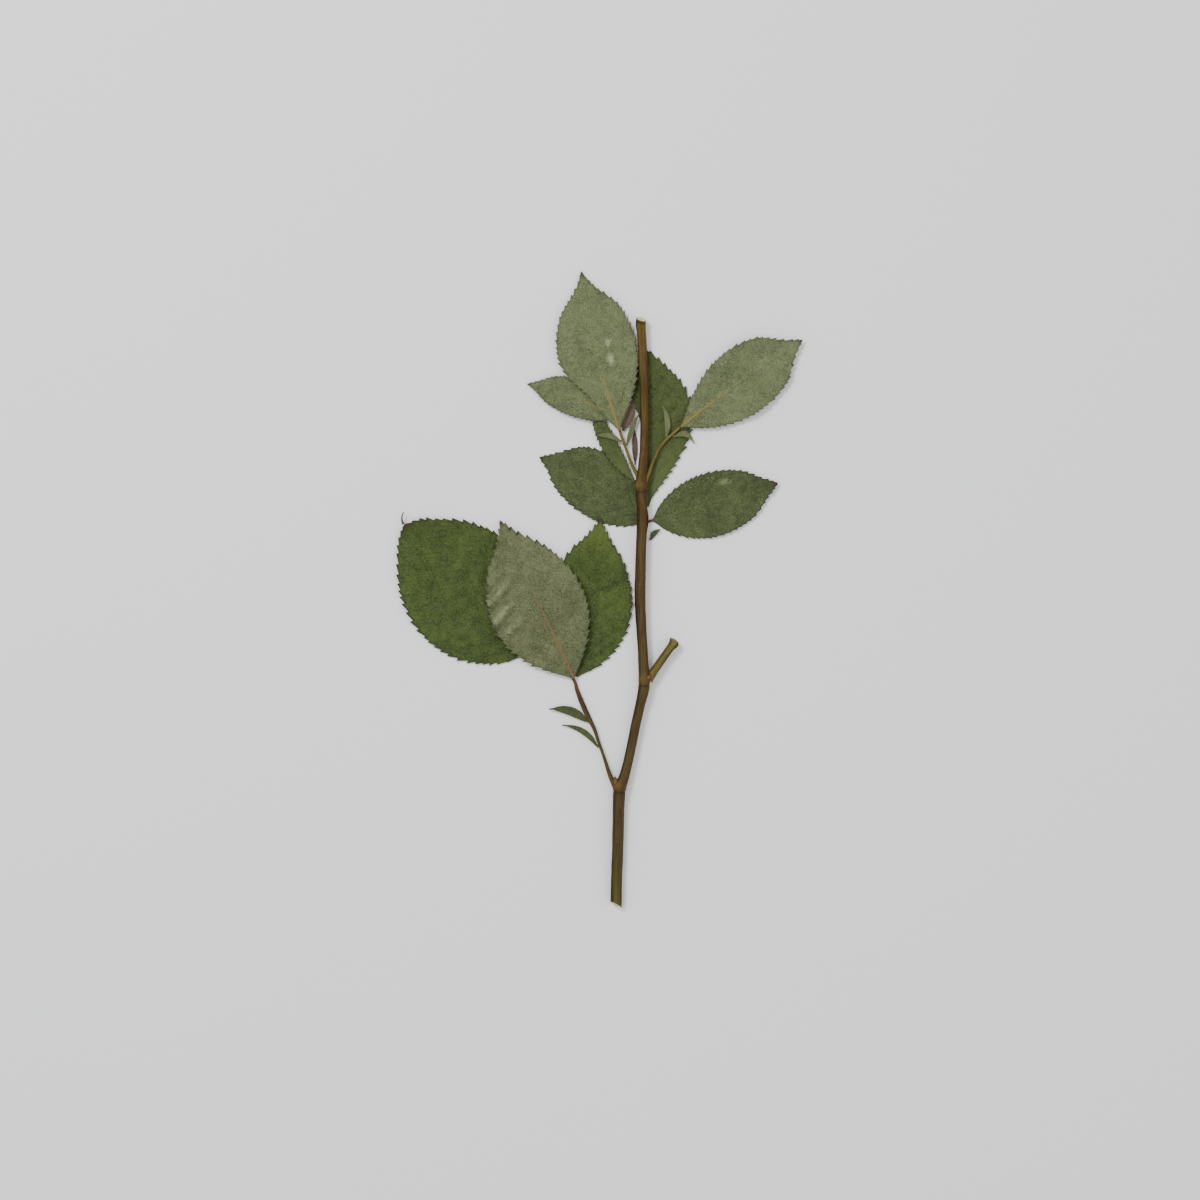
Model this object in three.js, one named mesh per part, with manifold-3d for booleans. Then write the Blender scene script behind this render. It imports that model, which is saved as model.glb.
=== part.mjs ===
// A pressed rose sprig, lying flat as it came out of the press: a zig-zag woody stem cut at both
// ends, the stub of a side twig, four leaves with their stalks, leaflets and stipules, a dry bud
// and a bud scale. Millimetres. The sprig lies on the plane Z = 0 with +Z up, and +Y runs up the
// stem. The origin is on that plane, below the middle of the sprig's own box.

import * as THREE from 'three';
import { mergeVertices } from 'three/addons/utils/BufferGeometryUtils.js';
import Module from 'manifold-3d';

const wasm = await Module();
wasm.setup();

// Driving dimensions.
const BLADE_THICKNESS = 0.3;
const FOLDED_THICKNESS = 0.75; // a leaflet pressed with one half folded under it
const STIPULE_THICKNESS = 0.3;
const END_HALF_WIDTH = 0.3; // what a blade keeps at its two ends
const GAP = 0.3; // clearance between neighbouring pieces
const STEM_SIDES = 14;
const STALK_SIDES = 10;

// Finishes.
const STEM_BROWN = { color: 0x57452a, roughness: 0.75, metalness: 0 };
const TWIG_OLIVE = { color: 0x6f6a38, roughness: 0.75, metalness: 0 };
const STALK_TAN = { color: 0x6e6238, roughness: 0.7, metalness: 0 };
const LEAF_FACE = { color: 0x4e5a2e, roughness: 0.8, metalness: 0 };
const LEAF_BACK = { color: 0x747a5c, roughness: 0.85, metalness: 0 };
const STIPULE_GREEN = { color: 0x6a6c40, roughness: 0.8, metalness: 0 };
const BUD_TAN = { color: 0x8a6a3a, roughness: 0.75, metalness: 0 };

// Each station of a stem or stalk is [x, y, height of its underside, radius].
const MAIN_STEM = [
  [5.95, -111.3, 0, 1.9],
  [6.1, -101.2, 0.1, 1.9],
  [6.5, -90.7, 0.3, 1.88],
  [6.8, -76.0, 0.5, 1.9],
  [7.2, -69.0, 0.6, 2.05],
  [8.6, -65.5, 0.75, 1.75],
  [10.2, -59.2, 0.85, 1.6],
  [11.7, -52.2, 1.0, 1.6],
  [13.1, -45.2, 1.15, 1.6],
  [14.7, -38.2, 1.25, 1.68],
  [15.8, -32.9, 1.3, 1.95],
  [15.6, -27.7, 1.35, 1.75],
  [15.2, -20.0, 1.35, 1.65],
  [14.5, -8.0, 1.35, 1.75],
  [14.3, 1.0, 1.35, 1.82],
  [14.7, 15.8, 1.35, 1.75],
  [15.05, 29.0, 1.35, 1.72],
  [14.7, 35.6, 1.3, 2.0],
  [15.0, 41.0, 1.4, 1.6],
  [15.7, 49.4, 1.45, 1.42],
  [15.9, 59.9, 1.5, 1.42],
  [15.6, 73.9, 1.5, 1.45],
  [15.2, 84.4, 1.5, 1.48],
  [14.7, 91.4, 1.5, 1.55],
  [14.35, 94.5, 1.4, 1.8],
];

const SIDE_TWIG = [
  [16.2, -32.2, 1.8, 1.25],
  [18.0, -29.6, 1.75, 1.2],
  [22.2, -23.6, 1.65, 1.14],
  [26.6, -17.5, 1.6, 1.17],
];

const LOWER_LEAF_STALK = [
  [6.4, -71.4, 1.6, 1.15],
  [5.2, -68.6, 1.45, 1.1],
  [4.0, -65.1, 1.3, 0.8],
  [1.75, -58.1, 1.05, 0.58],
  [-0.35, -52.15, 0.9, 0.54],
  [-1.75, -47.95, 0.8, 0.56],
  [-4.9, -41.65, 0.65, 0.52],
  [-7.7, -34.65, 0.45, 0.5],
  [-9.1, -30.45, 0.4, 0.42],
  [-14.6, -26.4, 0.4, 0.4],
  [-22.8, -21.6, 0.3, 0.36],
];

const MIDDLE_LEAF_STALK = [
  [15.6, -35.6, 1.2, 0.8],
  [16.0, -32.6, 0.35, 0.6],
  [15.8, -27.0, 0.1, 0.45],
  [15.05, -3.15, 0.02, 0.44],
  [15.75, 10.85, 0.02, 0.44],
  [17.2, 20.5, 0.05, 0.46],
  [17.8, 24.6, 0.1, 0.5],
  [17.55, 28.4, 0.15, 0.42],
];

const UPPER_LEFT_STALK = [
  [15.1, 34.4, 2.6, 1.0],
  [13.6, 37.9, 2.1, 1.1],
  [12.75, 40.6, 1.95, 0.75],
  [11.55, 43.75, 1.8, 0.56],
  [10.15, 47.6, 1.6, 0.5],
  [8.05, 53.55, 1.3, 0.5],
  [6.65, 57.4, 1.15, 0.46],
  [5.8, 60.0, 1.1, 0.42],
];

const UPPER_RIGHT_STALK = [
  [15.3, 34.8, 2.7, 0.9],
  [16.9, 38.4, 2.2, 1.0],
  [18.0, 42.6, 1.8, 0.66],
  [19.6, 46.9, 1.55, 0.54],
  [21.35, 50.4, 1.4, 0.5],
  [24.15, 53.55, 1.25, 0.5],
  [26.95, 56.0, 1.2, 0.46],
  [28.2, 57.0, 1.2, 0.42],
];

// A blade runs from its base to its tip. left and right are [half-width, rise, fall] as seen from
// above, looking to the tip. bow carries the midrib sideways, + to the left. height is the
// underside's at base, middle and tip; cup lifts both margins; wave is [height, count].
const LEAFLETS = {
  lower_leaf_end_leaflet: {
    base: [-23.5, -21.0], tip: [-68.3, 23.4],
    left: [23, 0.65, 0.75], right: [21.5, 0.65, 0.75], bow: 0,
    height: [0.4, 0.05, 1.8], cup: 0.75, wave: [0.12, 3], finish: LEAF_FACE,
  },
  lower_leaf_turned_leaflet: {
    base: [-8.9, -30.2], tip: [-34.7, 24.9],
    left: [17.8, 0.95, 1.15], right: [16.0, 0.95, 1.15], bow: 0,
    height: [1.75, 2.1, 1.15], cup: 0.3, wave: [0.2, 2.5], finish: LEAF_BACK,
  },
  lower_leaf_right_leaflet: {
    base: [-7.6, -29.6], tip: [0.7, 25.6],
    left: [14.6, 0.78, 1.05], right: [15.3, 0.78, 1.05], bow: 0,
    height: [0.4, 0.05, 1.15], cup: 0.7, wave: [0.12, 2.5], finish: LEAF_FACE,
  },
  middle_leaf_left_leaflet: {
    base: [16.8, 25.2], tip: [-21.0, 46.9],
    left: [10.6, 0.7, 0.88], right: [12.0, 0.95, 0.88], bow: -1.0,
    height: [0.3, 0.02, 0.2], cup: 0.25, wave: [0.08, 2], finish: LEAF_FACE,
  },
  middle_leaf_right_leaflet: {
    base: [19.1, 24.8], tip: [62.7, 37.8],
    left: [10.5, 0.75, 0.85], right: [11.9, 0.75, 0.85], bow: 0,
    height: [0.35, 0.1, 1.5], cup: 0.8, wave: [0.15, 2.5], finish: LEAF_FACE,
  },
  middle_leaf_end_leaflet: {
    base: [17.2, 29.9], tip: [15.8, 85.1],
    left: [4.4, 8, 2.8], right: [16.1, 1.3, 1.0], bow: 0,
    height: [0.1, 0.0, 0.1], cup: 0.1, wave: [0, 0], finish: LEAF_FACE,
    thickness: FOLDED_THICKNESS,
  },
  upper_left_end_leaflet: {
    base: [7.0, 56.4], tip: [-6.3, 112.0],
    left: [13.8, 1.1, 1.1], right: [14.0, 1.05, 1.0], bow: 1.2,
    height: [2.45, 2.2, 0.5], cup: 0.4, wave: [0.2, 2.5], finish: LEAF_BACK,
  },
  upper_left_side_leaflet: {
    base: [5.1, 60.6], tip: [-25.2, 72.5],
    left: [6.5, 0.8, 0.9], right: [6.5, 0.8, 0.9], bow: -1.6,
    height: [1.35, 1.4, 0.5], cup: 0.15, wave: [0.05, 2], finish: LEAF_BACK,
  },
  upper_left_back_leaflet: {
    base: [12.2, 38.6], tip: [-2.5, 66.2],
    left: [4.5, 0.9, 0.9], right: [1.2, 0.9, 0.9], bow: 0,
    height: [1.0, 0.9, 0.1], cup: 0, wave: [0, 0], finish: LEAF_FACE,
    thickness: FOLDED_THICKNESS - 0.15,
  },
  upper_right_leaflet: {
    base: [28.9, 57.6], tip: [71.4, 87.9],
    left: [11.5, 1.0, 0.85], right: [12.1, 0.9, 0.9], bow: 0.7,
    height: [1.3, 1.6, 1.7], cup: 0.6, wave: [0.2, 2.5], finish: LEAF_BACK,
  },
};

const STIPULES = {
  lower_leaf_upper_stipule: {
    base: [-4.1, -45.5], tip: [-17.5, -41.3], half_width: 1.25, bow: -1.6,
    height: [0.9, 0.9, 1.3],
  },
  lower_leaf_lower_stipule: {
    base: [-0.7, -54.2], tip: [-12.95, -46.9], half_width: 0.8, bow: -1.9,
    height: [1.1, 0.9, 1.2],
  },
  middle_leaf_stipule: {
    base: [18.2, 18.3], tip: [21.5, 21.5], half_width: 0.75, bow: 0.6,
    height: [0.4, 0.5, 1.3],
  },
  upper_left_outer_stipule: {
    base: [7.3, 52.4], tip: [-1.05, 54.25], half_width: 0.8, bow: -1.0,
    height: [1.8, 1.9, 2.0],
  },
  upper_left_inner_stipule: {
    base: [9.9, 51.4], tip: [14.2, 62.4], half_width: 0.7, bow: 0.4,
    height: [1.5, 1.5, 1.4],
  },
  upper_right_inner_stipule: {
    base: [23.5, 54.3], tip: [22.05, 65.1], half_width: 0.8, bow: -1.1,
    height: [1.6, 1.8, 1.8],
  },
  upper_right_outer_stipule: {
    base: [26.2, 54.0], tip: [33.25, 51.45], half_width: 0.85, bow: 2.2,
    height: [1.4, 1.5, 1.7],
  },
};

// A curve through the stations' axis and one through their radii, on the same parameter.
function axisAndRadii(stations) {
  const onAxis = ([x, y, underside, radius]) => new THREE.Vector3(x, y, underside + radius);
  const asRadius = ([, , , radius]) => new THREE.Vector3(radius, 0, 0);
  return {
    axis: new THREE.CatmullRomCurve3(stations.map(onAxis), false, 'catmullrom', 0.5),
    radii: new THREE.CatmullRomCurve3(stations.map(asRadius), false, 'catmullrom', 0.5),
  };
}

// Moves every point of a geometry by a function of its own coordinates.
function bend(geometry, place) {
  const position = geometry.getAttribute('position');
  for (let i = 0; i < position.count; i += 1) {
    const point = place(position.getX(i), position.getY(i), position.getZ(i));
    position.setXYZ(i, point.x, point.y, point.z);
  }
  geometry.computeVertexNormals();
  return geometry;
}

// A round, tapering rod: a unit cylinder bent so that its axis follows the stations.
function rod(stations, sides, extraRadius = 0) {
  const { axis, radii } = axisAndRadii(stations);
  const steps = 2 * (stations.length - 1);
  const cylinder = new THREE.CylinderGeometry(1, 1, 1, sides, steps);
  const up = new THREE.Vector3(0, 0, 1);
  return bend(cylinder, (x, y, z) => {
    const along = THREE.MathUtils.clamp(y + 0.5, 0, 1);
    const radius = radii.getPoint(along).x + extraRadius;
    const forward = axis.getTangent(along);
    const right = forward.clone().cross(up).normalize();
    const over = right.clone().cross(forward);
    return axis.getPoint(along).addScaledVector(right, x * radius).addScaledVector(over, z * radius);
  });
}

// Half-width of a blade at s, from 0 at the base to 1 at the tip: it rises as s to the power
// rise, falls as 1 - s to the power fall, and is widest at rise / (rise + fall).
function halfWidth([width, rise, fall], s) {
  const widest = rise / (rise + fall);
  const shape = (s / widest) ** rise * ((1 - s) / (1 - widest)) ** fall;
  return Math.max(width * shape, END_HALF_WIDTH);
}

// The parabola through three heights, at the base, the middle and the tip.
function heightAt([base, middle, tip], s) {
  return base * (1 - s) * (1 - 2 * s) + middle * 4 * s * (1 - s) + tip * s * (2 * s - 1);
}

// A thin blade: a unit box bent to the outline, with its margins cupped and waved.
function blade({ base, tip, left, right, bow, height, cup, wave, thickness }, across, steps) {
  const start = new THREE.Vector2(...base);
  const chord = new THREE.Vector2(...tip).sub(start);
  const rightward = new THREE.Vector2(chord.y, -chord.x).normalize();
  return bend(new THREE.BoxGeometry(1, 1, 1, across, steps, 1), (x, y, z) => {
    const s = y + 0.5;
    const t = 2 * x;
    const sideways = t * halfWidth(t < 0 ? left : right, s) - bow * 4 * s * (1 - s);
    const middle = start.clone().addScaledVector(chord, s).addScaledVector(rightward, sideways);
    const belly = Math.sin(Math.PI * s) * t * t;
    const ripple = wave[0] * Math.sin(2 * Math.PI * wave[1] * s) * t;
    const lift = heightAt(height, s) + belly * (cup + ripple) + (z + 0.5) * thickness;
    return new THREE.Vector3(middle.x, middle.y, lift);
  });
}

// A geometry as a solid that can be cut.
function solid(geometry) {
  const bare = geometry.clone();
  bare.deleteAttribute('normal');
  bare.deleteAttribute('uv');
  const merged = mergeVertices(bare, 1e-3);
  const vertProperties = merged.getAttribute('position').array;
  const triVerts = new Uint32Array(merged.index.array);
  return new wasm.Manifold(new wasm.Mesh({ numProp: 3, vertProperties, triVerts }));
}

// A geometry with the solids of its neighbours cut away.
function trimmed(geometry, neighbours) {
  const cut = neighbours.reduce((left, neighbour) => left.subtract(neighbour), solid(geometry));
  const { vertProperties, triVerts } = cut.getMesh();
  const result = new THREE.BufferGeometry();
  result.setAttribute('position', new THREE.BufferAttribute(vertProperties, 3));
  result.setIndex(new THREE.BufferAttribute(triVerts, 1));
  result.computeVertexNormals();
  return result;
}

function piece(name, geometry, finish) {
  const mesh = new THREE.Mesh(geometry, new THREE.MeshStandardMaterial(finish));
  mesh.name = name;
  return mesh;
}

// The main stem, and the room that the pieces growing from it leave round it.
function makeStem() {
  return piece('main_stem', rod(MAIN_STEM, STEM_SIDES), STEM_BROWN);
}

const roomForStem = solid(rod(MAIN_STEM, STEM_SIDES, GAP));

// A stalk or a twig that grows out of the stem, with its foot cut to sit against the bark.
function growing(name, stations, finish) {
  return piece(name, trimmed(rod(stations, STALK_SIDES), [roomForStem]), finish);
}

function makeTwigAndStalks() {
  return [
    growing('side_twig_stub', SIDE_TWIG, TWIG_OLIVE),
    growing('lower_leaf_stalk', LOWER_LEAF_STALK, STALK_TAN),
    growing('middle_leaf_stalk', MIDDLE_LEAF_STALK, STALK_TAN),
    growing('upper_left_stalk', UPPER_LEFT_STALK, STALK_TAN),
    growing('upper_right_stalk', UPPER_RIGHT_STALK, STALK_TAN),
  ];
}

function makeLeaflets() {
  return Object.entries(LEAFLETS).map(([name, leaflet]) => {
    const shape = { thickness: BLADE_THICKNESS, ...leaflet };
    return piece(name, blade(shape, 6, 20), leaflet.finish);
  });
}

function makeStipules() {
  return Object.entries(STIPULES).map(([name, stipule]) => {
    const side = [stipule.half_width, 0.6, 0.9];
    const flat = { left: side, right: side, cup: 0, wave: [0, 0], thickness: STIPULE_THICKNESS };
    return piece(name, blade({ ...flat, ...stipule }, 2, 10), STIPULE_GREEN);
  });
}

// A plump bud or scale, pointed up the stem, pressed against what it grows from.
function bud(name, centre, radii, turn, grownFrom) {
  const ball = new THREE.SphereGeometry(1, 14, 10);
  ball.scale(...radii);
  ball.rotateZ(turn);
  ball.translate(...centre);
  const room = grownFrom.map((stations) => solid(rod(stations, STALK_SIDES, GAP)));
  return piece(name, trimmed(ball, [roomForStem, ...room]), BUD_TAN);
}

function makeBuds() {
  return [
    bud('lower_axil_bud', [5.9, -66.3, 3.5], [0.85, 1.7, 0.9], 0.15, [LOWER_LEAF_STALK]),
    bud('twig_base_scale', [17.0, -30.2, 4.4], [0.9, 1.6, 0.75], -0.55, [SIDE_TWIG]),
  ];
}

const sprig = new THREE.Group();
sprig.add(makeStem(), ...makeTwigAndStalks(), ...makeLeaflets(), ...makeStipules(), ...makeBuds());

// The sprig is set down with the middle of its box over the origin.
const box = new THREE.Box3().setFromObject(sprig);
const middle = box.getCenter(new THREE.Vector3());
sprig.position.set(-middle.x, -middle.y, -box.min.z);

const part = new THREE.Group();
part.add(sprig);
export default part;
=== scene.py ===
# %% [markdown]
# # A pressed rose sprig
#
# A rose shoot that has lain in a press: a zig-zag woody stem, four leaves whose leaflets lie
# flat over and under each other, some with the dark face up and some turned over, and the small
# stipules at the foot of each stalk. Nothing in it is straight or even, but every piece grows by
# a simple rule, so every piece here is a formula on a grid. The places and sizes come from the
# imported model; only what grows finer than a blade's outline is added: teeth, veins, bark, cuts.

import bpy
import numpy as np
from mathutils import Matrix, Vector


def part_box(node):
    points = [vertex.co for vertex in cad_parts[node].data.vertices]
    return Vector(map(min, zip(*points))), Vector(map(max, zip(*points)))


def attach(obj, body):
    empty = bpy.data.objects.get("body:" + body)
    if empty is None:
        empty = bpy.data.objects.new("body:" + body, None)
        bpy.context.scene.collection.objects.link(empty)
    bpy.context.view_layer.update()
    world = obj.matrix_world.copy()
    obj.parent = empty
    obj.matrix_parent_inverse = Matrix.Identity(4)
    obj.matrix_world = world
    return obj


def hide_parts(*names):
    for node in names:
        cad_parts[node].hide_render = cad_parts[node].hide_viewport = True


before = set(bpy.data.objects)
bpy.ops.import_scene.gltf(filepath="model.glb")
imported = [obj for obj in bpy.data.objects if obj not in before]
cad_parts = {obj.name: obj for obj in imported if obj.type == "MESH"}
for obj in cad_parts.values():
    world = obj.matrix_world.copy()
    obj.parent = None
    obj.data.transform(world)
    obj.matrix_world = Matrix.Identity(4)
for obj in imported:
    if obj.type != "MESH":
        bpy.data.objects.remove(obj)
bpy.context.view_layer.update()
MM = 0.001

# %% [markdown]
# ## Camera, light and floor
#
# A pressed plant is looked at straight from above. The lens is long, so that the leaves keep
# their true outlines, and the view is nearly twice as wide as the sprig is tall. One soft
# light stands at the upper left, so the shadows fall short and to the lower right, and an even
# pale surround fills them in.

# %% Camera
PICTURE_WIDTH = 0.420
LENS, SENSOR = 100.0, 36.0
AIM = Vector((0.0, -0.0035, 0.0))

camera_data = bpy.data.cameras.new("camera")
camera_data.lens, camera_data.sensor_width = LENS, SENSOR
camera = bpy.data.objects.new("camera", camera_data)
camera.location = AIM + Vector((0.0, 0.0, PICTURE_WIDTH * LENS / SENSOR))
bpy.context.scene.collection.objects.link(camera)
bpy.context.scene.camera = camera
print("camera height, m:", round(camera.location.z, 3))

# %% Lights and surround
def soft_light(name, place, size, power):
    """A square area light of that size and power, turned to face the sprig."""
    data = bpy.data.lights.new(name, "AREA")
    data.size, data.energy = size, power
    light = bpy.data.objects.new(name, data)
    light.location = place
    light.rotation_euler = (-Vector(place)).to_track_quat("-Z", "Y").to_euler()
    bpy.context.scene.collection.objects.link(light)
    return light


KEY_WATTS, FILL_WATTS = 11.0, 3.0
SURROUND_COLOUR = (0.96, 0.97, 1.0, 1.0)
SURROUND_STRENGTH = 0.85

soft_light("key light", (-0.55, 0.60, 1.05), 0.35, KEY_WATTS)
soft_light("fill light", (0.9, -0.3, 1.1), 1.2, FILL_WATTS)

surround = bpy.data.worlds.new("pale surround")
surround.use_nodes = True
surround.node_tree.nodes["Background"].inputs["Color"].default_value = SURROUND_COLOUR
surround.node_tree.nodes["Background"].inputs["Strength"].default_value = SURROUND_STRENGTH
bpy.context.scene.world = surround

# %% Floor
FLOOR_HALF = 3.0
FLOOR_COLOUR = (0.97, 0.97, 0.975, 1.0)


def plain_floor():
    """One flat square of pale matt board that the sprig lies on."""
    mesh = bpy.data.meshes.new("floor")
    corners = [(x * FLOOR_HALF, y * FLOOR_HALF, 0.0) for x, y in ((-1, -1), (1, -1), (1, 1), (-1, 1))]
    mesh.from_pydata(corners, [], [(0, 1, 2, 3)])
    board = bpy.data.materials.new("pale board")
    board.use_nodes = True
    shader = board.node_tree.nodes["Principled BSDF"]
    shader.inputs["Base Color"].default_value = FLOOR_COLOUR
    shader.inputs["Roughness"].default_value = 0.9
    mesh.materials.append(board)
    floor = bpy.data.objects.new("floor", mesh)
    bpy.context.scene.collection.objects.link(floor)
    return floor


plain_floor()

# %% [markdown]
# ## Reading a blade from its solid
#
# Each leaflet's solid is a thin plate with rows of corners across it, from base to tip. To dress
# it without moving it, the rows are read back: the two ends give the chord, every row gives the
# left margin, the midrib and the right margin, and the pairs of corners give both heights.
# A smooth cubic between the rows then serves at any fineness.

# %% Corners and curves
def corners_of(node):
    """Every corner of a node's solid as rows of x, y, z."""
    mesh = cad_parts[node].data
    places = np.empty(len(mesh.vertices) * 3)
    mesh.vertices.foreach_get("co", places)
    return np.unique(places.reshape(-1, 3).round(7), axis=0)


def between(samples, at):
    """The cubic through equally spaced samples, read at places from 0 to 1. With a, b, c, d the
    four samples round a place and f the way from b to c, it is
    (2b + (c - a) f + (2a - 5b + 4c - d) f^2 + (3b - a - 3c + d) f^3) / 2."""
    last = len(samples) - 1
    place = np.clip(at, 0.0, 1.0) * last
    cell = np.minimum(place.astype(int), last - 1)
    f = (place - cell).reshape(-1, *([1] * (samples.ndim - 1)))
    a, b, c, d = (samples[np.clip(cell + k, 0, last)] for k in (-1, 0, 1, 2))
    cubic = (3 * b - a - 3 * c + d) * f**3
    return (2 * b + (c - a) * f + (2 * a - 5 * b + 4 * c - d) * f**2 + cubic) / 2


def step(low, high, value):
    """0 below low, 1 above high, and 3x^2 - 2x^3 between."""
    x = np.clip((value - low) / (high - low), 0.0, 1.0)
    return x * x * (3 - 2 * x)


# %% Blade reader
END_BAND = 0.2 * MM


def read_blade(node, stalk):
    """A blade's chord from base to tip, and per row its margins, midrib and two heights.
    The base is the end that lies nearer to the stalk."""
    corners = corners_of(node)
    flat = corners[:, :2]
    apart = np.linalg.norm(flat[:, None] - flat[None], axis=2)
    first, second = np.unravel_index(apart.argmax(), apart.shape)
    base, tip = flat[first], flat[second]
    for _ in range(3):
        along = flat @ ((tip - base) / np.linalg.norm(tip - base))
        base = flat[along < along.min() + END_BAND].mean(axis=0)
        tip = flat[along > along.max() - END_BAND].mean(axis=0)
    feet = corners_of(stalk)[:, :2]
    if np.linalg.norm(feet - tip, axis=1).min() < np.linalg.norm(feet - base, axis=1).min():
        base, tip = tip, base
    length = np.linalg.norm(tip - base)
    chord = (tip - base) / length
    rightward = np.array([chord[1], -chord[0]])
    share = (flat - base) @ chord / length
    side = (flat - base) @ rightward
    rows = len(np.unique(share.round(3))) - 1
    row = np.rint(share * rows).astype(int)
    order = np.lexsort((side, row))
    grid = np.column_stack([side, corners[:, 2]])[order].reshape(rows + 1, -1, 2, 2)
    heights = np.sort(grid[..., 1], axis=2)
    sides = grid[..., 0].mean(axis=2)
    return {
        "base": base, "chord": chord, "rightward": rightward, "length": length,
        "left": sides[:, 0], "middle": sides[:, sides.shape[1] // 2], "right": sides[:, -1],
        "under": heights[..., 0], "over": heights[..., 1],
    }


sample = read_blade("lower_leaf_end_leaflet", "lower_leaf_stalk")
print("largest leaflet, mm:", round(sample["length"] / MM, 1), "rows:", len(sample["left"]))

# %% [markdown]
# ## Meshes from grids
#
# A leaf is one sheet with two faces: the same grid is laid twice, a little apart along the
# sheet's own normal, and the rim between them is closed. A stem is a ring carried along a path.
# Both are plain grids, so one small function turns a block of points into quads.

# %% Grid faces and mesh maker
def grid_quads(rows, columns, wrap=False, first=0):
    """The quads of a grid of rows by columns points, numbered row by row; wrap joins the last
    column to the first."""
    count = columns if wrap else columns - 1
    r, c = np.meshgrid(np.arange(rows - 1), np.arange(count), indexing="ij")
    nxt = (c + 1) % columns
    quads = np.stack([r * columns + c, r * columns + nxt, (r + 1) * columns + nxt, (r + 1) * columns + c])
    return quads.reshape(4, -1).T + first


def rim_loop(rows, columns):
    """The outline of a grid as point numbers, anticlockwise seen from its upper face."""
    n = np.arange(rows * columns).reshape(rows, columns)
    return np.concatenate([n[0, :-1], n[:-1, -1], n[-1, :0:-1], n[:0:-1, 0]])


def make_piece(name, points, faces, materials, face_slots, attributes, node):
    """A mesh object from points and faces, riding on the body and standing for its node."""
    mesh = bpy.data.meshes.new(name)
    mesh.from_pydata(points.tolist(), [], faces if isinstance(faces, list) else faces.tolist())
    for material in materials:
        mesh.materials.append(material)
    mesh.polygons.foreach_set("material_index", np.asarray(face_slots, np.int32))
    mesh.polygons.foreach_set("use_smooth", np.ones(len(mesh.polygons), bool))
    for label, values in attributes.items():
        kind = "FLOAT" if values.ndim == 1 else "FLOAT_VECTOR"
        field = "value" if values.ndim == 1 else "vector"
        layer = mesh.attributes.new(label, kind, "POINT")
        layer.data.foreach_set(field, values.astype(np.float32).ravel())
    mesh.validate()
    piece = bpy.data.objects.new(name, mesh)
    bpy.context.scene.collection.objects.link(piece)
    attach(piece, "root")
    if node:
        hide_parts(node)
    return piece


# %% [markdown]
# ## Shading helpers
#
# A dried leaf is not one green. It is mottled by cells, veined, browned along its margin and
# scuffed where it rubbed against the paper. Each of those effects is a small node group that
# gives a mask, and each finish mixes its own colours with them.

# %% Node helpers
def linear(red, green, blue):
    """A colour from 0 to 255 as the linear light that shaders work in."""
    share = np.array([red, green, blue]) / 255.0
    light = np.where(share <= 0.04045, share / 12.92, ((share + 0.055) / 1.055) ** 2.4)
    return (*light.tolist(), 1.0)


def add(tree, kind, inputs=None, **settings):
    """A node of that kind; inputs gives each socket a value or another node's socket."""
    made = tree.nodes.new(kind)
    for label, value in settings.items():
        setattr(made, label, value)
    for label, value in (inputs or {}).items():
        if isinstance(value, bpy.types.NodeSocket):
            tree.links.new(value, made.inputs[label])
        else:
            made.inputs[label].default_value = value
    return made


def maths(tree, operation, first, second=0.0, clamp=False):
    """One sum on two values."""
    made = add(tree, "ShaderNodeMath", {0: first, 1: second}, operation=operation, use_clamp=clamp)
    return made.outputs[0]


def ramp(tree, value, low, high, bottom=0.0, top=1.0):
    """value from low to high becomes bottom to top, smoothly."""
    sockets = {"Value": value, "From Min": low, "From Max": high, "To Min": bottom, "To Max": top}
    return add(tree, "ShaderNodeMapRange", sockets, interpolation_type="SMOOTHSTEP").outputs[0]


def blend(tree, factor, first, second, mode="MIX"):
    """Two colours mixed by a factor."""
    made = add(tree, "ShaderNodeMix", data_type="RGBA", blend_type=mode)
    for label, value in ((0, factor), (6, first), (7, second)):
        if isinstance(value, bpy.types.NodeSocket):
            tree.links.new(value, made.inputs[label])
        else:
            made.inputs[label].default_value = value
    return made.outputs[2]


def new_group(name, inputs, outputs):
    """An empty node group with named inputs (numbers or vectors) and number outputs."""
    group = bpy.data.node_groups.new(name, "ShaderNodeTree")
    for label, default in inputs.items():
        kind = "NodeSocketVector" if isinstance(default, tuple) else "NodeSocketFloat"
        group.interface.new_socket(label, in_out="INPUT", socket_type=kind).default_value = default
    for label in outputs:
        group.interface.new_socket(label, in_out="OUTPUT", socket_type="NodeSocketFloat")
    return group, group.nodes.new("NodeGroupInput").outputs, group.nodes.new("NodeGroupOutput").inputs


def place_group(tree, group, **inputs):
    """A group set in a material, with its own values; an underscore stands for a space."""
    made = add(tree, "ShaderNodeGroup", node_tree=group)
    for label, value in inputs.items():
        socket = made.inputs[label.replace("_", " ")]
        if isinstance(value, bpy.types.NodeSocket):
            tree.links.new(value, socket)
        else:
            socket.default_value = value
    return made.outputs


def carried(tree, label, output="Fac"):
    """What the mesh carries under that label, as a number or as a vector."""
    return add(tree, "ShaderNodeAttribute", attribute_name=label).outputs[output]


def colour_ladder(tree, value, stages):
    """The colour at a value, from (value, colour) pairs in rising order."""
    ladder = add(tree, "ShaderNodeValToRGB", {0: value})
    steps = ladder.color_ramp.elements
    while len(steps) < len(stages):
        steps.new(0.5)
    for element, (share, colour) in zip(steps, stages):
        element.position, element.color = share, linear(*colour)
    return ladder.outputs["Color"]


def new_finish(name):
    """A new material, with its node tree and its shader."""
    material = bpy.data.materials.new(name)
    material.use_nodes = True
    return material, material.node_tree, material.node_tree.nodes["Principled BSDF"]


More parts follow.
